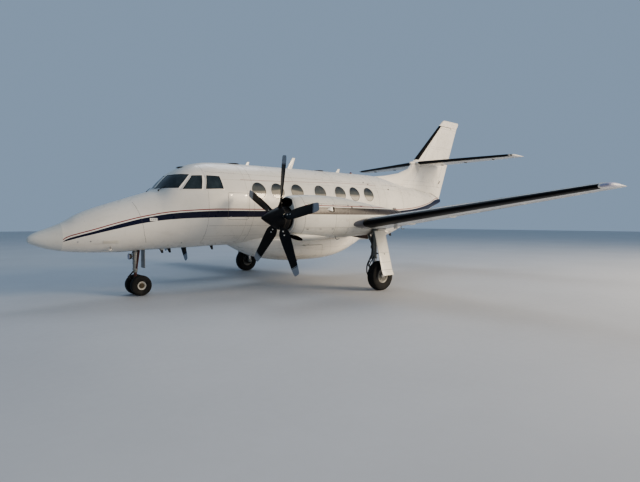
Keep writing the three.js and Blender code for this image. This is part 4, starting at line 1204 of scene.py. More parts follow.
def gridSkin(rows, closed=False):
    # A sheet through rows of points, with its own map in metres
    rows = np.asarray(rows, float)
    count, size = rows.shape[:2]
    aft = np.concatenate([[0], np.cumsum(np.linalg.norm(np.diff(rows.mean(axis=1), axis=0), axis=1))])
    across = np.linalg.norm(np.diff(rows, axis=1), axis=2)
    across = np.concatenate([np.zeros((count, 1)), np.cumsum(across, axis=1)], axis=1)
    faces, spots = [], []
    for i in range(count - 1):
        for j in range(size if closed else size - 1):
            k = (j + 1) % size
            faces.append((i * size + j, i * size + k, (i + 1) * size + k, (i + 1) * size + j))
            wrap = across[i, j] + np.linalg.norm(rows[i, k] - rows[i, j])
            spots += [(across[i, j], aft[i]), (wrap, aft[i]), (wrap, aft[i + 1]), (across[i, j], aft[i + 1])]
    made = meshOf("grid", [tuple(p) for p in rows.reshape(-1, 3)], [], faces)
    layer = made.data.uv_layers.new(name="skin")
    for loop, spot in enumerate(spots):
        layer.data[loop].uv = spot
    return smoothed(outwards(made), 60)


# Cabin windows: a bonded frame, a dark seal and a pane, seven to a side
cabinWindows = {
    "stations": (4.655, 5.205, 5.815, 6.585, 7.312, 7.865, 8.445),
    "height": 2.350,
    "climb": 0.012,
    "halfWide": 0.186,
    "halfTall": 0.188,
    "frame": 0.024,
    "seal": 0.010,
    "proud": 0.0055,
    "pane": 0.0012,
    "overlap": 0.001,
    "paneRings": (6, 0.026),
}
windowPieces = {"window_frames": [], "window_seals": [], "window_panes": []}
rimWide, sealWide, proud = cabinWindows["frame"], cabinWindows["seal"], cabinWindows["proud"]
for station in cabinWindows["stations"]:
    x = atStation(station)
    z = cabinWindows["height"] + cabinWindows["climb"] * (station - cabinWindows["stations"][0])
    outline = [
        disc(x, z, cabinWindows["halfWide"] + more, cabinWindows["halfTall"] + more)
        for more in (rimWide + sealWide, sealWide, cabinWindows["overlap"])
    ]
    rings, ringWide = cabinWindows["paneRings"]
    first, second = moved(0, proud * 0.6, 0), moved(0, proud * 0.4, 0)
    back = moved(0, -proud * 0.5, 0)
    edit(outline[0], first, inset(rimWide * 0.35), second, inset(rimWide * 0.65), back, openMiddle)
    edit(outline[1], moved(0, proud * 0.8, 0), inset(sealWide), moved(0, -proud * 0.7, 0), openMiddle)
    edit(shifted(outline[2], (0, cabinWindows["pane"], 0)), *[inset(ringWide)] * rings)
    for made, piece in zip(windowPieces.values(), outline):
        made.append(smoothed(laid(piece, fuselageForm, portSide), 50))
for name, coat, slot in (
    ("window_frames", "trim", None),
    ("window_seals", "boot", None),
    ("window_panes", "pane", "pane"),
):
    bothSides(windowPieces[name], name, coat, slot=slot)
print("cabin windows are in")

# Flight-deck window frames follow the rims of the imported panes; rows are aside, lift
screenFrames = {
    "screen_frames": [(-0.003, 0.0005), (-0.002, 0.006), (0.016, 0.0065), (0.024, 0.003), (0.027, hidden)],
    "screen_seals": [(-0.013, 0.0005), (-0.011, 0.0035), (-0.004, 0.004), (-0.002, 0.0035)],
}


def rimOf(mesh, form):
    # The outer edge of a dressed pane, as points in order with few on its straight runs
    outer = []
    for face in mesh.polygons:
        _, facing, distance = form.nearest(face.center)
        if distance < 0.002 and face.normal.dot(facing) > 0.9:
            outer.append(face)
    uses, follows = {}, {}
    for face in outer:
        for key in face.edge_keys:
            uses[key] = uses.get(key, 0) + 1
    for face in outer:
        corners = list(face.vertices)
        for a, b in zip(corners, corners[1:] + corners[:1]):
            if uses[(min(a, b), max(a, b))] == 1:
                follows[a] = b
    loop = [next(iter(follows))]
    while follows.get(loop[-1]) not in (loop[0], None):
        loop.append(follows[loop[-1]])
    line = [mesh.vertices[i].co.copy() for i in loop]
    line = [p for i, p in enumerate(line) if (p - line[i - 1]).length > 0.004]
    kept = [line[0]]
    for i in range(1, len(line)):
        ahead, behind = line[(i + 1) % len(line)] - line[i], line[i] - kept[-1]
        if behind.length > 0.03 or behind.angle(ahead, 0) > 0.2:
            kept.append(line[i])
    return kept


screenPieces = {name: [] for name in screenFrames}
for pane in cockpitPanes:
    line = rimOf(skins["port_" + pane].data, fuselageForm)
    facings = [fuselageForm.nearest(p)[1] for p in line]
    # the profile is turned so that aside points away from the glass
    middle = sum(line, Vector()) / len(line)
    sign = 1 if facings[0].cross(line[1] - line[0]).dot(line[0] - middle) > 0 else -1
    for name, made in screenPieces.items():
        profile = [(sign * aside, lift) for aside, lift in screenFrames[name]]
        made.append(ribbon(line, facings, profile, True))
bothSides(screenPieces["screen_frames"], "screen_frames", "trim")
bothSides(screenPieces["screen_seals"], "screen_seals", "boot")
print("flight-deck frames are in")

# Panel joints, plates and small fittings of the fuselage; places are (station, height)
panelLines = {
    "nose": [(1.869, 2.024), (1.941, 1.749), (2.031, 1.333), (2.107, 1.159)],
    "hatch": ((3.82, 1.66), (4.36, 2.275), 0.035),
    "frames": (3.36, 4.50, 8.86),
    "frameEnds": (1.12, 2.98),
    "stringers": (2.74, 1.52),
    "stringerEnds": (3.4, 9.0),
    "bayDoors": [(1.62, 0.012), (2.52, 0.012), (2.52, 0.145), (1.62, 0.145)],  # station, y
    "wide": 0.006,
    "narrow": 0.0035,
}
wide, narrow = panelLines["wide"], panelLines["narrow"]
lines = [
    seam(fuselageForm, portSide, sideOn(panelLines["nose"]), 0.005),
    seam(fuselageForm, portSide, sideOn(rounded(*panelLines["hatch"])), wide, True),
]
for station in panelLines["frames"]:
    ends = [(station, z) for z in np.linspace(*panelLines["frameEnds"], 24)]
    lines.append(seam(fuselageForm, portSide, sideOn(ends), narrow))
for up in panelLines["stringers"]:
    ends = [(station, up) for station in panelLines["stringerEnds"]]
    lines.append(seam(fuselageForm, portSide, sideOn(ends), narrow))
corners = [(atStation(station), y, 0) for station, y in panelLines["bayDoors"]]
lines.append(seam(fuselageForm, belly, corners, wide, True))
bothSides(lines, "panel_joints", "seam")


def plate(low, high, radius, lift, form=fuselageForm, towards=portSide):
    # A thin plate with round corners, laid on the skin
    turns = np.linspace(0, math.pi / 2, 5)
    ends = radius * (1 - np.cos(turns))
    straight = np.linspace(low[0] + radius, high[0] - radius, 8)[1:-1]
    stations = np.concatenate([low[0] + ends, straight, (high[0] - ends)[::-1]])
    cut = radius * (1 - np.sin(turns))
    cut = np.concatenate([cut, np.zeros(6), cut[::-1]])
    grid = []
    for i in range(-1, len(stations) + 1):
        k = min(max(i, 0), len(stations) - 1)
        ups = np.linspace(low[1] + cut[k], high[1] - cut[k], 5)
        lifts = [hidden] + [lift if k == i else hidden] * 5 + [hidden]
        raised = zip([ups[0], *ups, ups[-1]], lifts)
        grid.append([(atStation(stations[k]), height, up) for up, height in raised])
    return smoothed(laid(gridSkin(grid), form, towards), 40)


def plateAt(station, up, halfLong, halfTall, radius, lift, *skin):
    low, high = (station - halfLong, up - halfTall), (station + halfLong, up + halfTall)
    return plate(low, high, radius, lift, *skin)


# Each plate: low and high corner, corner radius, lift
staticPlate = ((2.12, 1.625), (2.27, 1.688), 0.006, 0.0014)
hatchStep = ((3.84, 1.915), (4.34, 1.935), 0.008, 0.005)
bothSides([plate(*staticPlate), plate(*hatchStep)], "skin_plates", "trim")
ports = [plateAt(station, 1.6565, 0.009, 0.009, 0.0085, 0.0026) for station in (2.1575, 2.195, 2.2325)]
for station, up in ((0.817, 1.212), (1.041, 1.218), (2.9, 1.14), (9.5, 2.66)):
    ports.append(plateAt(station, up, 0.012, 0.012, 0.011, 0.002))
bothSides(ports, "static_ports", "steel")

louvres = {"from": 1.26, "to": 1.56, "low": 1.165, "high": 1.232, "slats": 7}
slats = []
for i in range(louvres["slats"]):
    up = louvres["low"] + (i + 0.5) * (louvres["high"] - louvres["low"]) / louvres["slats"]
    slats.append(plate((louvres["from"], up - 0.0030), (louvres["to"], up + 0.0022), 0.002, 0.004))
bothSides(slats, "nose_louvres", "cream")

latches = []
for station, up in ((3.90, 1.72), (4.28, 1.72), (3.90, 2.22), (4.28, 2.22)):
    latches.append(plateAt(station, up, 0.022, 0.009, 0.004, 0.0016))
    latches.append(plateAt(station, up, 0.006, 0.006, 0.005, 0.0032))
bothSides(latches, "hatch_latches", "steel")
marks = [plateAt(*spot, 0.022, 0.012, 0.008, 0.003) for spot in ((8.43, 2.755), (8.59, 2.715))]
bothSides(marks, "crown_drains", "dark")
for name, coat, *shape in (
    # name, finish, low and high corner, corner radius, lift
    ("door_vent", "dark", (9.385, 2.575), (9.445, 2.610), 0.012, 0.003),
    # the handle well is a dark plate, painted shade of its recess
    ("door_handle_well", "seam", (9.46, 1.98), (9.63, 2.032), 0.012, 0.0012),
    ("door_handle", "steel", (9.48, 1.995), (9.61, 2.016), 0.008, 0.009),
):
    fitted(plate(*shape), name, coat, "passenger_door")


def aerial(towards, station, tall, chord, tip, sweep, thick):
    # A blade aerial: a block narrowed and swept at its tip, then rounded
    sign = -1 if towards[2] > 0 else 1
    place, _ = seen(fuselageForm, (atStation(station), 0, 0), towards)
    middle = place + Vector((0, 0, sign * (tall / 2 - 0.012)))
    bpy.ops.mesh.primitive_cube_add(size=1, location=middle, scale=(chord, thick, tall))
    blade = applyPlace(bpy.context.object)
    for vert in blade.data.vertices:
        if (vert.co.z - place.z) * sign > tall / 2:
            vert.co.x = place.x + (vert.co.x - place.x) * tip / chord - sweep
            vert.co.y = place.y + (vert.co.y - place.y) * 0.5
    foot = disc(place.x, 0, chord * 0.72, thick * 2.2, 32)
    shifted(foot, Matrix.Rotation(-math.pi / 2 * sign, 4, "X"))
    shifted(edit(foot, moved(0, 0, sign * 0.003)), (0, place.y, place.z - sign * 0.0005))
    return smoothed([bevelled(blade, thick * 0.38, 3), outwards(foot)], 40)


for name, coat, towards, rows in (
    # station, height, chord, tip chord, sweep, thickness
    ("crown_aerials", "trim", crown, (
        (6.26, 0.32, 0.16, 0.10, 0.16, 0.020),
        (4.90, 0.10, 0.10, 0.06, 0.05, 0.012),
        (8.05, 0.13, 0.14, 0.08, 0.07, 0.012),
    )),
    ("navigation_aerials", "seam", crown, (
        (4.45, 0.032, 0.24, 0.17, 0.015, 0.10),
        (7.25, 0.032, 0.24, 0.17, 0.015, 0.10),
        (3.10, 0.028, 0.10, 0.07, 0.0, 0.07),
    )),
    ("belly_aerials", "dark", belly, (
        *((station, 0.11, 0.085, 0.05, 0.035, 0.009) for station in (2.62, 2.80, 3.18, 3.87)),
        (10.4, 0.16, 0.14, 0.09, 0.08, 0.014),
    )),
):  # fmt: skip
    fitted([aerial(towards, *row) for row in rows], name, coat)

# Beacons: a glass dome on a metal ring
beaconRadius = 0.042
for name, place, facing, tall in (
    ("crown_beacon", *seen(fuselageForm, (atStation(8.62), 0, 0), crown), 0.055),
    ("belly_beacon", Vector((atStation(6.5), 0, 0.566)), crown, 0.050),
):
    dome = ball((0, 0, 0), (beaconRadius, beaconRadius, tall), 32, 16)
    collar = rod((0, 0, -0.004), (0, 0, 0.006), beaconRadius * 1.12, bevel=0.0015)
    fitted(smoothed(shifted(dome, place, along(facing)), 60), name + "_glass", "redGlass")
    fitted(smoothed(shifted(collar, place, along(facing))), name + "_ring", "steel")

# Wipers lie along the foot of each windscreen; places are (station, height)
wiper = {
    "pivot": (2.455, 2.285),
    "elbow": (2.585, 2.375),
    "near": (2.47, 2.372),
    "far": (2.73, 2.378),
    "arm": 0.0065,
}


def onScreen(key, lift):
    place, facing = seen(fuselageForm, (atStation(wiper[key][0]), 0, wiper[key][1]), portSide)
    return place + facing * lift


wiperPieces = [
    rod(onScreen("pivot", -0.01), onScreen("pivot", 0.030), 0.016, 0.012, bevel=0.002),
    rod(onScreen("pivot", 0.026), onScreen("elbow", 0.020), wiper["arm"], wiper["arm"] * 0.8, 16),
    rod(onScreen("near", 0.011), onScreen("far", 0.011), wiper["arm"] * 0.9, sides=16),
]
bothSides(smoothed(wiperPieces), "wiper", "dark")

# Pitot heads under the nose
pitot = {"station": 1.42, "y": 0.36, "drop": 0.085, "reach": 0.16, "radius": 0.009}
foot, facing = seen(fuselageForm, (atStation(pitot["station"]), pitot["y"], 0), belly)
knee = foot + facing * pitot["drop"]
back, ahead = knee - Vector((0.02, 0, 0)), knee + Vector((pitot["reach"], 0, 0))
mast = rod(foot - facing * 0.01, knee, 0.012, 0.010, 24)
tube = rod(back, ahead, pitot["radius"], pitot["radius"] * 0.8, 24, 0.002)
bothSides(smoothed([mast, tube]), "pitot_head", "steel")
print("fuselage fittings are on")

# Landing gear
mainGear = {"x": atStation(6.700), "y": 2.970, "legY": 2.780}
noseGear = {"x": atStation(2.100), "legX": atStation(2.100) + 0.060, "y": 0.165}
mainWheel = {
    "radius": 0.345,
    "half": 0.112,
    "bead": 0.158,
    "grooves": (0.50, 0.18),
    "bolts": 10,
    "dish": 0.034,
    "rimHalf": 0.088,
    "hub": 0.044,
    "boltRing": 0.098,
}
noseWheel = {
    "radius": 0.222,
    "half": 0.075,
    "bead": 0.086,
    "grooves": (0.45,),
    "bolts": 6,
    "dish": 0.022,
    "rimHalf": 0.060,
    "hub": 0.030,
    "boltRing": 0.052,
}
tyreWall = [
    # share of the half width, share of the way from bead to tread
    (0.74, 0.02), (0.80, 0.06), (0.90, 0.20), (0.93, 0.24), (0.935, 0.27), (0.985, 0.42), (1.0, 0.56),
    (0.985, 0.70), (0.94, 0.82), (0.925, 0.825), (0.92, 0.85), (0.85, 0.925), (0.74, 0.965),
]  # fmt: skip


def wheel(centre, radius, half, bead, grooves, bolts, dish, rimHalf, hub, boltRing):
    # A tyre and its split rim with tie bolts, spun about the axle
    tread = radius - 0.0002
    wall, groove = tread - bead, radius * 0.022
    outline = [(-half * across, bead + wall * out) for across, out in tyreWall]
    for share in grooves:
        crest = tread - 0.02 * wall * share**2
        for aside, deep in ((-1.2, 0), (-0.8, 1), (0.8, 1), (1.2, 0)):
            outline.append((-half * share + aside * groove / 2, crest - deep * groove))
    outline.append((-half * 0.02, tread))
    outline += [(-across, out) for across, out in reversed(outline)]
    inside = [(half * 0.70, bead * 0.97), (-half * 0.70, bead * 0.97)]
    tyre = smoothed(spun(outline + inside + [outline[0]], centre, 96), 32)
    flange = [
        (rimHalf * 0.80, bead * 0.90), (rimHalf * 0.96, bead * 0.96), (rimHalf, bead * 1.07),
        (rimHalf * 0.97, bead * 1.09), (rimHalf * 1.03, bead * 1.06), (rimHalf * 1.02, bead * 0.98),
        (rimHalf * 0.92, bead * 0.90), (rimHalf - dish * 0.55, bead * 0.80), (rimHalf - dish, bead * 0.70),
        (rimHalf - dish, bead * 0.50), (rimHalf - dish * 0.8, bead * 0.40), (rimHalf * 0.95, hub * 1.25),
        (rimHalf, hub * 1.12), (rimHalf, hub * 0.2),
    ]  # fmt: skip
    profile = flange + [(-across, out) for across, out in reversed(flange)]
    rim = smoothed(spun(profile, centre, 80), 32)
    pieces = []

    def stud(base, side, long, *shape, **more):
        pieces.append(rod(base, base + Vector((0, side * long, 0)), *shape, **more))

    for i in range(bolts):
        angle = fullTurn * i / bolts
        spot = Vector(centre) + Vector((math.cos(angle), 0, math.sin(angle))) * boltRing
        for side in (1, -1):
            base = spot + Vector((0, side * (rimHalf - dish - 0.004), 0))
            stud(base, side, 0.013, bead * 0.055, sides=6)
            stud(base, side, 0.019, bead * 0.028, sides=12)
    for side in (1, -1):
        base = Vector(centre) + Vector((0, side * (rimHalf - 0.004), 0))
        stud(base, side, 0.010, hub * 0.95, hub * 0.85, 40, 0.002)
        stud(base, side, 0.018, hub * 0.42, sides=6)
        valve = Vector(centre) + Vector((boltRing * 0.26, side * (rimHalf - dish), boltRing * 1.2))
        stud(valve, side, 0.03, 0.004, sides=12)
    return tyre, rim, smoothed(pieces)


tyre, rim, bolts = wheel((mainGear["x"], mainGear["y"], mainWheel["radius"]), **mainWheel)
bothSides(tyre, "main_tyre_skin", "tyre", "main_wheel", ["main_tyre"], "tyre_rubber")
bothSides(rim, "main_rim_skin", "rim", "main_wheel", ["main_rim"], "rim_paint")
bothSides(bolts, "main_wheel_bolts", "steel", "main_wheel")

noseRims, hubs = [], []
radius = noseWheel["radius"]
for name, side in (("nose_tyre_port", 1), ("nose_tyre_starboard", -1)):
    tyre, rim, bolts = wheel((noseGear["x"], side * noseGear["y"], radius), **noseWheel)
    fitted(tyre, name + "_skin", "tyre", "nose_wheels", [name], "tyre_rubber")
    fitted(bolts, name + "_bolts", "rust", "nose_wheels")
    noseRims.append(rim)
    face = (noseGear["x"], side * (noseGear["y"] + 0.0595), radius)
    cap = [(0.0, 0.056), (0.004, 0.054), (0.0045, 0.038), (0.009, 0.034), (0.010, 0.0)]
    hubs.append(spun([(side * out, wide) for out, wide in cap], face, 56))
noseRims.append(rod((noseGear["x"], -0.13, radius), (noseGear["x"], 0.13, radius), 0.020, bevel=0.002))
fitted(smoothed(hubs), "nose_hubs", "hub", "nose_wheels")
fitted(smoothed(noseRims), "nose_rims_skin", "ring", "nose_wheels", ["nose_rims"], "rim_paint")
print("wheels are spun")


def hose(points, radius):
    # A hose along a smooth curve through points
    curve = bpy.data.curves.new("hose", "CURVE")
    curve.dimensions, curve.bevel_depth, curve.bevel_resolution = "3D", radius, 4
    spline = curve.splines.new("BEZIER")
    spline.bezier_points.add(len(points) - 1)
    for knot, at in zip(spline.bezier_points, points):
        knot.co = at
        knot.handle_left_type = knot.handle_right_type = "AUTO"
    pick(linked("hose", curve))
    bpy.ops.object.convert(target="MESH")
    return smoothed(bpy.context.object, 60)


def linkArm(root, tip, rootHalf, tipHalf, thick, pinRadius):
    # A forged torque link: two side bars, a web between them, a pin at each end
    root, tip, aside = Vector(root), Vector(tip), Vector((0, 1, 0))
    bars = []
    for side in (1, -1):
        ends = root + aside * rootHalf * side, tip + aside * tipHalf * side
        bars.append(rod(*ends, thick, thick * 0.75, 16, 0.002))
    for share in (0.32, 0.66):
        middle, half = root.lerp(tip, share), rootHalf + (tipHalf - rootHalf) * share
        bars.append(rod(middle - aside * half, middle + aside * half, thick * 0.6, sides=14))
    for end, half in ((root, rootHalf + 0.012), (tip, tipHalf + 0.012)):
        bars.append(rod(end - aside * half, end + aside * half, pinRadius, sides=24, bevel=0.002))
    return bars


def rods(x, y, rows):
    # Rods from a table; the places are measured from x and y, heights from the ground
    made = []
    for start, end, radius, endRadius, sides, bevel in rows:
        ends = [(x + place[0], y + place[1], place[2]) for place in (start, end)]
        made.append(rod(*ends, radius, endRadius or radius, sides, bevel))
    return made


def softened(node, width):
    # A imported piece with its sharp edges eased
    obj = linked("soft_" + node, frame["nodes"][node].data.copy())
    flats = ("dissolve_limited", {"angle_limit": math.radians(2)})
    edit(obj, ("remove_doubles", {"threshold": skinLook["merge"]}), flats)
    return smoothed(bevelled(obj, width, 3, angle_limit=math.radians(35)), 40)


# Main leg, its side stay, torque links, brakes and hoses
x, y, axle = mainGear["x"], mainGear["legY"], mainWheel["radius"]
legRows = [
    # start, end, radius, end radius, sides, bevel
    ((0, 0, 0.760), (0, 0, 1.452), 0.062, 0.066, 48, 0.004),
    ((0, 0, 0.740), (0, 0, 0.775), 0.074, 0, 48, 0.005),
    ((0, 0, 0.775), (0, 0, 0.800), 0.070, 0.063, 48, 0.002),
    ((0, 0, 0.318), (0, 0, 0.385), 0.050, 0.058, 40, 0.006),
    ((0, -0.055, axle), (0, 0.030, axle), 0.056, 0.050, 40, 0.008),
    ((0, 0, axle), (0, 0.244, axle), 0.034, 0, 40, 0.003),
    ((-0.085, 0, 1.330), (0.085, 0, 1.330), 0.030, 0, 32, 0.004),
]
clampRows = [((0, 0, z - 0.008), (0, 0, z + 0.008), 0.0695, 0, 40, 0.003) for z in (1.34, 1.10, 0.93)]
spigotRows = [((0, 0, z), (0, 0.180 + (1.395 - z) * 0.28, z), 0.016, 0, 20, 0.002) for z in (1.290, 0.860)]
stayRows = [
    ((0, 0, 1.010), (0, -0.135, 1.230), 0.024, 0.022, 32, 0.003),
    ((0, -0.135, 1.230), (0, -0.260, 1.432), 0.022, 0.024, 32, 0.003),
    ((-0.034, -0.135, 1.230), (0.034, -0.135, 1.230), 0.028, 0, 32, 0.003),
    ((0.050, -0.020, 1.060), (0.050, -0.220, 1.400), 0.015, 0, 24, 0),
    ((0.050, -0.090, 1.179), (0.050, -0.220, 1.400), 0.023, 0, 32, 0.003),
    ((-0.040, -0.010, 1.010), (0.062, -0.010, 1.010), 0.016, 0, 24, 0.002),
]
lugs = [
    block((x - 0.052, y - 0.075, 0.975), (x + 0.052, y - 0.035, 1.045), 0.008, 3),
    block((x + 0.030, y - 0.045, 0.780), (x + 0.062, y + 0.045, 0.828), 0.008, 3),
    block((x + 0.020, y - 0.040, 0.362), (x + 0.052, y + 0.040, 0.408), 0.008, 3),
]
leg = [*rods(x, y, legRows), *lugs, *rods(x, y, clampRows + spigotRows + stayRows)]
bothSides(smoothed(leg), "main_leg_skin", "leg", nodes=["main_leg"], slot="gear_paint")
links = linkArm((x + 0.040, y, 0.800), (x + 0.190, y, 0.590), 0.040, 0.022, 0.012, 0.013)
links += linkArm((x + 0.020, y, 0.385), (x + 0.190, y, 0.586), 0.036, 0.014, 0.012, 0.010)
bothSides(smoothed(links), "main_torque_links", "dark")
bothSides(smoothed(rod((x, y, axle), (x, y, 0.770), 0.044, sides=48)), "main_oleo", "chrome")

brakeRows = [
    ((0, 0.032, axle), (0, 0.040, axle), 0.104, 0, 64, 0.002),
    ((0, 0.044, axle), (0, 0.052, axle), 0.108, 0, 64, 0.002),
    ((0, 0.056, axle), (0, 0.066, axle), 0.104, 0, 64, 0.002),
    ((0, 0.020, axle), (0, 0.068, axle), 0.066, 0, 48, 0.003),
]
brake = rods(x, y, brakeRows)
for angle in np.radians((25, 95, 165, 235, 305)):
    spot = Vector((x, y + 0.026, axle)) + Vector((math.cos(angle), 0, math.sin(angle))) * 0.088
    brake.append(rod(spot - Vector((0, 0.034, 0)), spot, 0.019, 0.021, 28, 0.003))
    brake.append(rod(spot - Vector((0, 0.042, 0)), spot, 0.007, sides=6))
bothSides(smoothed(brake), "brake_pack", "dark")
hoses = []
for radius, points in (
    (0.008, [
        (0.060, -0.030, 1.36), (0.074, -0.020, 1.10), (0.080, -0.016, 0.86), (0.135, -0.060, 0.66),
        (0.190, -0.050, 0.47), (0.160, -0.020, 0.33), (0.090, -0.012, 0.350),
    ]),
    (0.007, [
        (0.066, 0.020, 1.36), (0.076, 0.014, 1.00), (0.078, 0.010, 0.82), (0.165, -0.020, 0.70),
        (0.232, -0.030, 0.52), (0.200, -0.015, 0.35), (0.085, 0.004, 0.300),
    ]),
    (0.005, [
        (-0.066, 0, 1.40), (-0.072, 0, 1.10), (-0.070, 0, 0.86), (-0.10, -0.01, 0.66), (-0.055, -0.02, 0.42),
    ]),
):  # fmt: skip
    hoses.append(hose([(x + ahead, y + out, up) for ahead, out, up in points], radius))
bothSides(hoses, "brake_hoses", "hose")

# Leg doors, with a hem and stiffening ribs across the outer face; rows are rise and height
doorLook = {"bands": ((0.125, 0.012), (0.30, 0.006), (0.52, 0.006)), "proud": 0.0035}
door = softened("port_leg_door", 0.005)
bothSides(door, "leg_door_skin", "cream", nodes=["leg_door"], slot="gear_paint")
low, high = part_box("port_leg_door")
doorTree, bands = treeOf(door.data), []
for rise, tall in doorLook["bands"]:
    hits = []
    for x in np.linspace(low.x, high.x, 48):
        found, facing, _, _ = doorTree.ray_cast(Vector((x, high.y + 0.5, low.z + rise)), Vector(portSide))
        if found is not None and facing.y > 0.5:
            hits.append((found, facing))
    bands.append(ribbon(*zip(*hits), raisedBand(tall / 2, doorLook["proud"], 0.6, hidden / 2), False))
bothSides(bands, "leg_door_ribs", "strut")

# Nose leg, steered fork, taxi lamp and doors
x, wheelX, axle = noseGear["legX"], noseGear["x"], noseWheel["radius"]
upperRows = [
    # start, end, radius, end radius, sides, bevel
    ((0, 0, 0.560), (0, 0, 1.110), 0.050, 0.054, 48, 0.004),
    ((0, 0, 0.556), (0, 0, 0.590), 0.058, 0, 48, 0.004),
    ((0, 0, 0.690), (0, 0, 0.720), 0.0565, 0, 48, 0.003),
    ((0, 0, 0.880), (0, 0, 0.900), 0.0575, 0, 48, 0.003),
    ((0, -0.100, 1.020), (0, 0.100, 1.020), 0.026, 0, 32, 0.003),
    ((-0.074, -0.034, 1.060), (-0.006, -0.034, 0.720), 0.011, 0, 20, 0),
    ((-0.074, 0.034, 1.060), (-0.006, 0.034, 0.720), 0.011, 0, 20, 0),
    ((0, 0, 0.855), (0.082, 0, 0.855), 0.014, 0, 24, 0.002),
    ((0.030, -0.072, 0.800), (0.030, 0.072, 0.800), 0.016, 0, 24, 0.002),
    ((0.030, 0.030, 0.760), (0.030, 0.115, 0.760), 0.020, 0, 28, 0.003),
]
fitted(smoothed(rods(x, 0, upperRows)), "nose_leg_skin", "strut", nodes=["nose_leg"], slot="gear_paint")
dragRows = [
    ((-0.090, 0, 1.090), (0, 0, 0.720), 0.022, 0, 32, 0.003),
    ((-0.085, 0.052, 1.085), (-0.012, 0.050, 0.590), 0.021, 0.019, 32, 0.003),
    ((-0.085, -0.052, 1.085), (-0.012, -0.050, 0.590), 0.021, 0.019, 32, 0.003),
    ((-0.012, -0.066, 0.600), (-0.012, 0.066, 0.600), 0.014, 0, 24, 0.002),
]
fitted(smoothed(rods(x, 0, dragRows)), "nose_drag_struts", "rust")

lampFace = (x + 0.130, 0, 0.855)
shell = rod((x + 0.080, 0, 0.855), (x + 0.134, 0, 0.855), 0.052, 0.068, 48, 0.004)
lens = [(0.0, 0.062), (0.006, 0.060), (0.010, 0.045), (0.012, 0.022), (0.0125, 0.0)]
rim = [(0.0, 0.069), (0.010, 0.068), (0.010, 0.060), (0.0, 0.060), (0.0, 0.069)]
fitted(smoothed(shell), "taxi_lamp_shell", "dark")
fitted(smoothed(spun(lens, lampFace, 48, (1, 0, 0))), "taxi_lamp_lens", "clearGlass")
fitted(smoothed(spun(rim, lampFace, 48, (1, 0, 0))), "taxi_lamp_ring", "steel")
cable = hose([(x + 0.085, 0.02, 0.90), (x + 0.06, 0.04, 0.97), (x + 0.045, 0.045, 1.05)], 0.005)
fitted(cable, "taxi_lamp_cable", "hose")

fork = [
    rod((x, 0, 0.500), (x, 0, 0.552), 0.046, sides=48, bevel=0.004),
    rod((x, 0, 0.255), (x, 0, 0.320), 0.040, 0.036, 40, 0.005),
    rod((wheelX, -0.088, axle), (wheelX, 0.088, axle), 0.036, sides=40, bevel=0.005),
    block((wheelX - 0.030, -0.042, axle - 0.030), (x + 0.030, 0.042, axle + 0.050), 0.014, 4),
    block((x + 0.010, -0.030, 0.498), (x + 0.050, 0.030, 0.540), 0.006, 3),
    block((x - 0.010, -0.030, 0.282), (x + 0.032, 0.030, 0.322), 0.006, 3),
]
links = linkArm((x + 0.044, 0, 0.520), (x + 0.150, 0, 0.415), 0.026, 0.016, 0.0085, 0.009)
links += linkArm((x + 0.026, 0, 0.300), (x + 0.150, 0, 0.412), 0.026, 0.010, 0.0085, 0.008)
fitted(smoothed(links), "nose_torque_links", "dark", "nose_fork")
fitted(smoothed(fork), "nose_fork_skin", "leg", "nose_fork", ["nose_fork"], "gear_paint")
fitted(smoothed(rod((x, 0, 0.290), (x, 0, 0.690), 0.033, sides=40)), "nose_oleo", "rust", "nose_fork")
fitted(softened("nose_door", 0.004), "nose_door_skin", "strut", nodes=["nose_door"], slot="gear_paint")
print("landing gear is built")

# De-icing boots wrap the leading edges
boots = {
    # from, to, shares of the chord above and below, count of sections
    "wing": (wingSkin, 3.02, 7.745, 0.070, 0.190, 40),
    "tailplane": (tailSkin, 0.19, 3.25, 0.095, 0.110, 24),
    "fin": (finSkin, 3.78, 5.13, 0.085, 0.085, 24),
}
bootLook = {"steps": 64, "lift": 0.0022, "hem": 0.002}


def boot(section, low, high, above, below, count):
    steps, hem = bootLook["steps"], bootLook["hem"]
    share = (1 + np.cos(np.linspace(0, math.pi, steps + 1))) / 2
    first = min(i for i in range(steps + 1) if share[i] < above)
    last = max(2 * steps - i for i in range(steps + 1) if share[i] < below)
    rows = [section(low - hem, steps, hidden)[first : last + 1]]
    for at in np.linspace(low, high, count):
        row, flush = section(at, steps, bootLook["lift"]), section(at, steps, hidden)
        row[[first, last]] = flush[[first, last]]
        rows.append(row[first : last + 1])
    rows.append(section(high + hem, steps, hidden)[first : last + 1])
    return gridSkin(rows)


bothSides(boot(*boots["wing"]), "wing_boot", "boot")
bothSides(boot(*boots["tailplane"]), "tailplane_boot", "boot")
fitted(boot(*boots["fin"]), "fin_boot", "boot")


# Wing and tail joints: spars, ribs, tabs, covers and caps
def wingSpot(share, y):
    return (atStation(wingMix("leading", y) + share * wingMix("chord", y)), y, 0)


def tailSpot(share, y):
    leading = tailLeading(y)
    return (atStation(leading + share * (tailplane["trailing"] - leading)), y, 0)


# name: form, place on it, then rows of both ends as (share of the chord, y) and the width
surfaceLines = {
    "wing_joints": (wingForm, wingSpot, [
        *(((share, 1.05), (share, 7.70), 0.004) for share in (0.135, 0.60)),
        *(((0.12, y), (0.73, y), 0.0035) for y in (3.30, 4.12, 4.93, 6.10, 7.52)),
        ((0.02, 7.735), (0.97, 7.735), 0.005),
        ((0.90, 5.05), (0.90, 5.85), 0.004),
    ]),
    "tailplane_joints": (tailForm, tailSpot, [
        ((0.15, 0.24), (0.15, 3.15), 0.004),
        ((0.03, 3.15), (0.62, 3.15), 0.004),
    ]),
}  # fmt: skip
for name, (form, spot, rows) in surfaceLines.items():
    joints = []
    for towards in (crown, belly):
        joints += [seam(form, towards, [spot(*start), spot(*end)], width) for start, end, width in rows]
    bothSides(joints, name, "seam")

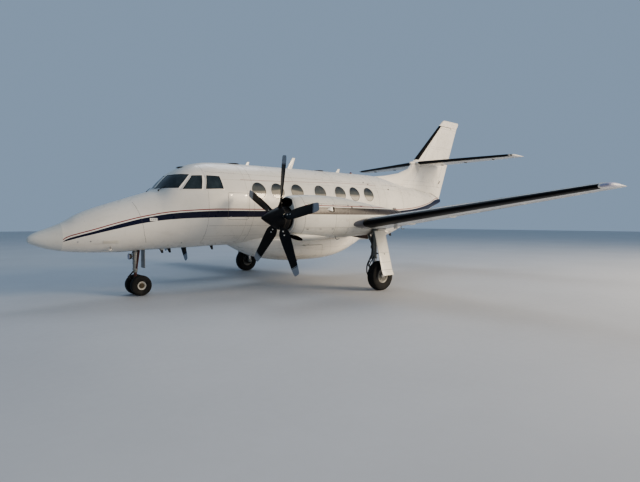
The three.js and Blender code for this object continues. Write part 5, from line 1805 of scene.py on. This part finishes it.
wingCovers = {
    "places": [(3.75, 0.34), (4.55, 0.34), (5.35, 0.34), (6.15, 0.33), (6.95, 0.33)],  # y, share
    "size": (0.075, 0.14),
    "lift": 0.0012,
}
covers = []
for y, share in wingCovers["places"]:
    flat = Matrix.Rotation(-math.pi / 2, 4, "X")
    cover = shifted(disc(0, 0, *wingCovers["size"], 40), wingSpot(share, y), flat)
    edit(cover, moved(0, 0, -wingCovers["lift"]), inset(0.006), inset(0.03))
    covers.append(smoothed(laid(cover, wingForm, belly), 30))
bothSides(covers, "wing_covers", "trim")

fuelCap = {"y": 6.35, "share": 0.36, "radius": 0.045}
place, facing = seen(wingForm, wingSpot(fuelCap["share"], fuelCap["y"]), crown)
collar = rod(place - facing * 0.002, place + facing * 0.0025, fuelCap["radius"], sides=48, bevel=0.001)
lid = rod(place, place + facing * 0.0045, fuelCap["radius"] * 0.86, sides=48, bevel=0.001)
grip = block((-0.026, -0.007, 0.0), (0.026, 0.007, 0.004), 0.002)
shifted(grip, place + facing * 0.004, along(facing))
bothSides(smoothed(collar), "fuel_cap_ring", "seam")
bothSides(smoothed([lid, grip]), "fuel_cap", "steel")

hinges = []
for y, halfLong, halfTall in (
    (3.55, 0.16, 0.036),
    (4.70, 0.15, 0.034),
    (5.30, 0.09, 0.018),
    (6.30, 0.085, 0.018),
    (7.25, 0.08, 0.016),
):
    place, _ = seen(wingForm, wingSpot(0.70, y), belly)
    hinges.append(ball(place + Vector((0.06, 0, 0)), (halfLong, 0.018, halfTall)))
bothSides(smoothed(hinges, 60), "hinge_covers", "trim")
tailHinges = []
for y in (0.62, 1.55, 2.55):
    place, _ = seen(tailForm, (atStation(12.50), y, 0), belly)
    ends = place + Vector((-0.06, -0.008, -0.022)), place + Vector((0.09, 0.008, 0.01))
    tailHinges.append(block(*ends, 0.006, 3))
bothSides(smoothed(tailHinges), "tailplane_hinges", "seam")

for name, coat, body, form, lift, rows in (
    # rows of width and (station, height) points
    ("fin_joints", "seam", "airframe", finForm, seamLook["lift"], [
        (0.004, (11.60, 3.10), (13.10, 5.134)),
        (0.005, (13.18, 5.134), (14.20, 5.134)),
        (0.0035, (10.9, 3.02), (12.45, 3.02)),
        (0.0035, (12.55, 4.25), (13.30, 4.25)),
    ]),
    ("rudder_tab", "seam", "rudder", finForm, seamLook["lift"], [
        (0.005, (13.16, 2.86), (13.00, 2.86), (13.42, 3.98), (13.60, 3.98)),
        (0.012, (12.735, 2.96), (12.725, 3.10)),
    ]),
    ("rudder_tab_actuator", "dark", "rudder", finForm, 0.012, [(0.028, (13.085, 2.997), (13.176, 3.101))]),
    # a dark band painted as the shade in the gap at the foot of the rudder
    ("rudder_foot_gap_shade", "dark", "airframe", fuselageForm, 0.002, [
        (0.026, (12.40, 2.648), (12.655, 2.548), (12.966, 2.424)),
    ]),
):  # fmt: skip
    pieces = [seam(form, portSide, sideOn(points), width, lift=lift) for width, *points in rows]
    bothSides(pieces, name, coat, body)

# Fairing where the tailplane meets the fin: an ogive ahead of the root, fading aft
bullet = {"front": 11.46, "back": 12.50, "z": 3.655, "halfWide": 0.115, "halfTall": 0.105, "crest": 0.45}
rows = [np.tile([atStation(bullet["front"] - 0.004), 0, bullet["z"]], (40, 1))]
for share in np.linspace(0.02, 1, 26):
    fade = (share - bullet["crest"]) / (1 - bullet["crest"])
    swell = math.sqrt(share * (2 - share)) if share < bullet["crest"] else 0.835 * (1 - fade**2 * 0.55)
    station = bullet["front"] + share * (bullet["back"] - bullet["front"])
    across = swell * bullet["halfWide"] * np.cos(circle(40))
    rows.append(ring(station, across, bullet["z"] + swell * bullet["halfTall"] * np.sin(circle(40))))
fitted(gridSkin(rows, True), "tail_bullet", "white")

# Landing lens in the front corner of each wing tip, with the tip lamp behind it
tipLens = {"from": 7.772, "to": 7.921, "inner": 0.035, "outer": 0.64, "rim": 0.022, "lift": 0.0025}
fineSteps = 160  # points over a wing section where its nose is copied


def noseArc(y, grow, share, count):
    # The part of a wing section ahead of a share of its chord, as evenly spread points
    section = wingSkin(y, fineSteps, grow)
    leading, trailing = section[:, 0].max(), section[:, 0].min()
    front = section[section[:, 0] > leading - share * (leading - trailing)]
    way = np.concatenate([[0], np.cumsum(np.linalg.norm(np.diff(front, axis=0), axis=1))])
    spots = np.linspace(0, way[-1], count)
    return np.stack([np.interp(spots, way, front[:, i]) for i in range(3)], -1)


def cornerPatch(low, inner, outer, lift):
    rows = []
    for i, step in enumerate(np.linspace(0, 1, 22)):
        y = low + (tipLens["to"] - low) * math.sin(step * math.pi / 2)
        share = inner + (outer - inner) * step**1.6
        arc = noseArc(y, lift if 0 < i < 21 else hidden, share, 26)
        flush = noseArc(y, hidden, share, 26)
        arc[0], arc[-1] = flush[0], flush[-1]
        rows.append(arc)
    return gridSkin(rows)


inner, outer = tipLens["inner"], tipLens["outer"]
lensRim = cornerPatch(tipLens["from"] - tipLens["rim"] / 2, inner + 0.03, outer + 0.03, 0.0012)
bothSides(lensRim, "tip_lens_rim", "ring")
bothSides(cornerPatch(tipLens["from"], inner, outer, tipLens["lift"]), "tip_lens", "clearGlass")
tipLamp = {"share": 0.78, "y": 7.893, "size": (0.038, 0.016, 0.017)}
section = wingSkin(tipLamp["y"], fineSteps)
leading, trailing = section[:, 0].max(), section[:, 0].min()
x = leading - tipLamp["share"] * (leading - trailing)
z = section[np.abs(section[:, 0] - x) < 0.01][:, 2].mean()
for side, coat in (("port_", "redGlass"), ("starboard_", "greenGlass")):
    lamp = ball((x, sides[side] * tipLamp["y"], z), tipLamp["size"], 28, 16)
    fitted(smoothed(lamp, 60), side + "tip_lamp", coat)

# Static wicks
wickLook = {"long": 0.13, "radius": 0.0022, "foot": 0.006}
for name, body, skin, places in (
    ("aileron_wicks", "aileron", wingSkin, (6.35, 6.85, 7.35)),
    ("elevator_wicks", "elevator", tailSkin, (2.2, 2.65, 3.05)),
):
    wicks, aft = [], Vector((-1, 0, 0))
    for y in places:
        trailing = skin(y)[0]
        place = Vector((trailing[0], y, trailing[2]))
        foot, radius = wickLook["foot"], wickLook["radius"]
        wicks.append(rod(place - aft * 0.02, place + aft * 0.025, foot * 0.7, foot * 0.4, 12))
        wicks.append(rod(place + aft * 0.02, place + aft * wickLook["long"], radius, radius * 0.6, 8))
    bothSides(smoothed(wicks), name, "blade", body)
print("wing and tail fittings are on")

# Propeller blades with rounded noses and thin trailing edges, five copies about the hub
bladeRows = [
    # radius, chord, thickness, pitch from the disc in degrees
    (0.130, 0.108, 0.104, 40),
    (0.235, 0.108, 0.099, 40),
    (0.262, 0.122, 0.090, 39),
    (0.300, 0.184, 0.062, 36),
    (0.430, 0.240, 0.040, 29),
    (0.640, 0.232, 0.028, 21),
    (0.900, 0.208, 0.020, 14),
    (1.180, 0.182, 0.013, 7),
    (1.262, 0.152, 0.009, 5),
    (1.282, 0.115, 0.007, 4),
    (1.287, 0.070, 0.004, 4),
]
angles = circle(propeller["sides"])
tipRadii = 1.19 + 0.097 * np.sin(np.linspace(0.12, math.pi / 2, 12))
radii = np.concatenate([np.linspace(0.13, 1.19, 34), tipRadii])
rows = []
for radius, (chord, thick, pitch) in zip(radii, through(bladeRows, radii)):
    roundness = min(1.0, max(0.0, (thick / chord - 0.15) / 0.6))
    back = chord / 2 * np.cos(angles)
    taper = roundness + (1 - roundness) * (0.55 + 0.45 * np.cos(angles))
    across = thick / 2 * np.sin(angles) * taper * (1 + 0.25 * (1 - roundness))
    sine, cosine = math.sin(math.radians(pitch)), math.cos(math.radians(pitch))
    x, y = back * sine + across * cosine, back * cosine - across * sine
    rows.append(np.stack([x, y, np.full_like(x, radius)], -1))
rows.append(np.tile(rows[-1].mean(axis=0), (propeller["sides"], 1)))
blade = gridSkin(rows, True)
plugs = []  # two round balance plugs through the root of each blade
for radius, thick, pitch in ((0.315, 0.062, 35), (0.400, 0.046, 31)):
    face = Vector((math.cos(math.radians(pitch)), -math.sin(math.radians(pitch)), 0)) * (thick / 2 + 0.0015)
    middle = Vector((0, 0, radius))
    plugs.append(rod(middle - face, middle + face, 0.015, sides=24, bevel=0.001))
plugs = smoothed(plugs)


def turned(i):
    # How blade i stands about the shaft
    return Matrix.Rotation(-math.radians(propeller["first"] + 360 / propeller["blades"] * i), 4, "X")


def fiveTimes(obj, centre):
    return [shifted(linked("copy", obj.data.copy()), centre, turned(i)) for i in range(propeller["blades"])]


shaft = (1, 0, 0)
for side, sign in sides.items():
    y, z, body = sign * propeller["y"], propeller["z"], side + "propeller"
    centre = Vector((atStation(propeller["station"]), y, z))
    fitted(fiveTimes(blade, centre), side + "blades", "blade", body, [body], "propeller_black")
    fitted(fiveTimes(plugs, centre), side + "blade_plugs", "trim", body)
    hub = [
        rod((atStation(4.240), y, z), (atStation(3.995), y, z), 0.149, sides=56, bevel=0.004),
        rod((atStation(4.345), y, z), (atStation(4.2), y, z), 0.075, sides=40, bevel=0.003),
    ]
    for i in range(propeller["blades"]):
        out = turned(i) @ Vector((0, 0, 1))
        hub.append(rod(centre + out * 0.12, centre + out * 0.215, 0.066, 0.062, 40, 0.003))
    fitted(smoothed(hub), side + "hub", "steel", body)
    rings = []
    for station, radius in ((4.118, 0.2424), (4.235, 0.2385)):
        proud = radius + 0.0008
        hoop = [(0.0, radius), (0.001, proud), (0.005, proud), (0.006, radius - 0.0004)]
        rings.append(spun(hoop, (atStation(station), y, z), 72, shaft))
    for i in range(20):
        out = Matrix.Rotation(math.radians(18 * i + 6), 4, "X") @ Vector((0, 0, 1))
        spot = Vector((atStation(4.245), y, z)) + out * 0.2365
        rings.append(rod(spot, spot + out * 0.0022, 0.0042, sides=10))
    fitted(smoothed(rings), side + "spinner_rings", "seam", body)
for spare in (blade, plugs):
    bpy.data.objects.remove(spare)
print("propellers are bladed")

# Nacelle: cowl joints, catches, ram vent, intake lip and chin scoop; places are (station, height)
cowl = {
    "loops": (4.525, 5.36, 6.62),
    "splits": [((4.53, 1.480), (6.60, 1.475)), ((4.53, 2.000), (6.60, 1.975))],
    "catches": ((4.62, 4.95, 5.30, 5.75, 6.20), (1.452, 1.972)),
    # the second drain's hole is a near-black ring painted as shade
    "drains": {"ring": (5.70, 1.640, 0.026, "ring"), "hole_shade": (5.86, 1.935, 0.013, "hole")},
}
joints, catches = [], []
for station in cowl["loops"]:
    loop = [nacelleForm.nearest(Vector(p))[:2] for p in ovalSkin(nacelle, [station], circle(90))[0]]
    joints.append(ribbon(*zip(*loop), raisedBand(0.003, 0.0006, 2 / 3, hidden / 2), True))
for ends in cowl["splits"]:
    joints += [seam(nacelleForm, towards, sideOn(ends), 0.005) for towards in (portSide, starboardSide)]
bothSides(joints, "cowl_joints", "seam")
for station in cowl["catches"][0]:
    for up in cowl["catches"][1]:
        for towards in (portSide, starboardSide):
            catches.append(plateAt(station, up, 0.028, 0.011, 0.005, 0.002, nacelleForm, towards))
bothSides(catches, "cowl_catches", "steel")

# A ram vent on the band: a wedge that rises aft, with a near-black block at its back painted as the shade of
# its opening
vent = {"front": 5.10, "back": 5.235, "z": 1.874, "tall": 0.100, "proud": 0.040, "mouth": 0.048}
bpy.ops.mesh.primitive_cube_add(size=1, location=(0, 0, 0))
wedge = applyPlace(bpy.context.object)
for vert in wedge.data.vertices:
    aft, out, up = vert.co.x < 0, vert.co.y > 0, math.copysign(vent["tall"] / 2, vert.co.z)
    place = (atStation(vent["back" if aft else "front"]), 0, vent["z"] + up * (1 if aft else 0.15))
    skin, facing = seen(nacelleForm, place, portSide)
    vert.co = skin + facing * ((vent["proud"] if aft else 0.001) if out else -0.004)
bothSides(smoothed(bevelled(wedge, 0.004, 3)), "cowl_vent", "trim")
skin, _ = seen(nacelleForm, (atStation(vent["back"]), 0, vent["z"]), portSide)
low = skin + Vector((-vent["mouth"], -0.01, -vent["tall"] * 0.52))
high = skin + Vector((0.0, vent["proud"] * 0.92, vent["tall"] * 0.52))
bothSides(smoothed(block(low, high, 0.008, 4)), "cowl_vent_mouth_shade", "hole")
for key, (station, up, radius, coat) in cowl["drains"].items():
    place, facing = seen(nacelleForm, (atStation(station), 0, up), portSide)
    bpy.ops.mesh.primitive_torus_add(
        major_radius=radius, minor_radius=0.007, major_segments=36, minor_segments=10
    )
    drain = shifted(applyPlace(bpy.context.object), place, along(facing))
    bothSides(smoothed(drain, 60), "cowl_drain_" + key, coat)

# A grey glove carries the wing's nose forward onto the nacelle side
glove = {"from": 2.80, "to": 3.035, "reach": 0.30, "share": 0.10, "lift": 0.0015}
rows = []
for step in np.linspace(0, 1, 18):
    y = glove["from"] + step * (glove["to"] - glove["from"])
    arc = noseArc(y, glove["lift"] if step < 1 else hidden, glove["share"], 30)
    middle = arc[np.argmax(arc[:, 0])]
    nearNose = 1 - (arc[0, 0] - arc[:, 0]) / min(-1e-6, arc[0, 0] - middle[0])
    push = glove["reach"] * (1 - step) ** 1.25 * (1 - nearNose**1.4)
    arc[:, 0] += push
    arc[:, 2] = middle[2] + (arc[:, 2] - middle[2]) * (1 - 0.25 * push / glove["reach"])
    rows.append(arc)
bothSides(gridSkin(rows), "wing_glove", "glove")

# Intake: a black lip about its mouth and a duct behind it, painted near-black as shade
intake = {
    "mouth": (4.290, 0.208, 0.094, 2.010),  # station, half width, half height, height
    "duct": (
        (4.286, 0.188, 0.0810, 2.010),
        (4.33, 0.180, 0.0745, 2.012),
        (4.60, 0.162, 0.0620, 1.988),
        (4.634, 0.145, 0.05, 1.985),
        (4.635, 0.001, 0.001, 1.985),
    ),
    "lip": [
        (-0.012, -0.014), (-0.013, 0.0), (-0.006, 0.010), (0.004, 0.010), (0.014, 0.002), (0.021, -0.030),
    ],
}


def oval(station, halfWide, halfTall, up):
    return [
        Vector((atStation(station), nacelle["y"] + halfWide * math.cos(a), up + halfTall * math.sin(a)))
        for a in circle(72)
    ]


mouth = oval(*intake["mouth"])
bothSides(ribbon(mouth, [Vector(shaft)] * len(mouth), intake["lip"], True), "intake_lip", "spinner")
duct = gridSkin([oval(*row) for row in intake["duct"]], True)
duct.data.flip_normals()
bothSides(duct, "intake_duct", "hole")

chin = {
    "brow": (4.32, 1.375),
    "lip": (4.60, 1.240),
    "middle": (4.77, 1.300),
    "size": (0.73, 0.225, 0.098),
    "deep": 0.16,
}
station, z = chin["middle"]
scoop = ball((atStation(station), nacelle["y"], z), chin["size"], 64, 48, (0, math.pi / 2, 0))
brow, mouthLip = [Vector(place) for place in sideOn([chin["brow"], chin["lip"]])]
raked = (mouthLip - brow).cross(Vector(starboardSide)).normalized()
cutOff = ("bisect", {"plane_co": brow, "plane_no": raked, "use_fill": True, "clear_outer": True})
edit(scoop, cutOff, byFaces, inset(0.010), moved(-chin["deep"], 0, 0))
for scoop in bothSides(smoothed(scoop, 40), "chin_scoop", "nacelle"):
    # the pocket faces its own middle line or looks ahead from its floor; these faces are painted near-black
    # as shade
    scoop.data.materials.append(stuff["hole"])
    for face in scoop.data.polygons:
        place = face.center
        out = Vector((0, place.y - math.copysign(nacelle["y"], place.y), place.z - z))
        deep = raked.dot(place - brow) < -0.02 and place.x > atStation(chin["lip"][0] + chin["deep"])
        floor = deep and face.normal.dot(raked) > 0.9
        face.material_index = int(floor or face.normal.dot(out) < -0.001)

# Drain tubes: one under each cowl and one under each wing behind the leg; places are (station, y)
drains = {"radius": 0.009, "fall": 0.075, "back": 0.09}
tubes = []
for form, station, y in ((nacelleForm, 5.52, 2.70), (wingForm, 7.28, 3.12)):
    root, _ = seen(form, (atStation(station), y, 0), belly)
    knee = root + Vector((-drains["back"] * 0.3, 0, -drains["fall"]))
    end = knee + Vector((-drains["back"], 0, drains["fall"] * 0.15))
    tubes.append(hose([root + Vector((0.02, 0, 0.02)), knee, end], drains["radius"]))
bothSides(tubes, "drain_tubes", "leg")
print("nacelle fittings are on")

# Pieces of the imported model that show as they are: the exhausts take a worn finish, the engines a
# near-black painted shade
for node, coat in (("exhaust", "exhaust"), ("engine", "bay")):
    for side in sides:
        packed = frame["nodes"][side + node]
        packed.data.materials.clear()
        packed.data.materials.append(stuff[coat])

# Stage: a plain pale floor and soft light
lights = {
    "sky": (0.56, 0.75, 1.0),
    "skyStrength": 0.40,
    "aim": (0, 0, 1.5),
    # place, size, power, tint
    "key": ((-10, 22, 9.5), 10, 5200, (1.0, 0.82, 0.60)),
    "fill": ((-8, -14, 24), 12, 1300, (0.80, 0.89, 1.0)),
    "low": ((-20, 18, 7), 12, 900, (1.0, 0.88, 0.72)),
    "floor": (0.56, 0.565, 0.575),
    "floorSize": 160.0,
}
settings = bpy.context.scene.view_settings
settings.view_transform, settings.look = "AgX", "AgX - Medium High Contrast"
settings.exposure = 0.0
world = bpy.context.scene.world = bpy.data.worlds.new("sky")
world.use_nodes = True
sky = world.node_tree.nodes["Background"].inputs
sky["Color"].default_value, sky["Strength"].default_value = (*lights["sky"], 1), lights["skyStrength"]
for name in ("key", "fill", "low"):
    place, size, power, tint = lights[name]
    bpy.ops.object.light_add(type="AREA", location=place)
    light = bpy.context.object
    light.name = name + "_light"
    light.data.shape, light.data.size, light.data.energy, light.data.color = "DISK", size, power, tint
    light.rotation_euler = (Vector(lights["aim"]) - light.location).to_track_quat("-Z", "Y").to_euler()
bpy.ops.mesh.primitive_plane_add(size=lights["floorSize"])
floor = bpy.context.object
floor.name = "floor"
ground = Graph("pale_floor")
pale = ground.toned(lights["floor"], ground.ramp(ground.noise(0.35, 5), 0.3, 0.7, (0.96, 1.02)))
rough = ground.ramp(ground.noise(9, 4), 0.3, 0.7, (0.55, 0.68))
floor.data.materials.append(ground.finish(pale, rough, ground.noise(30, 3), 0.002, 0.2))
print("floor and lights are set")
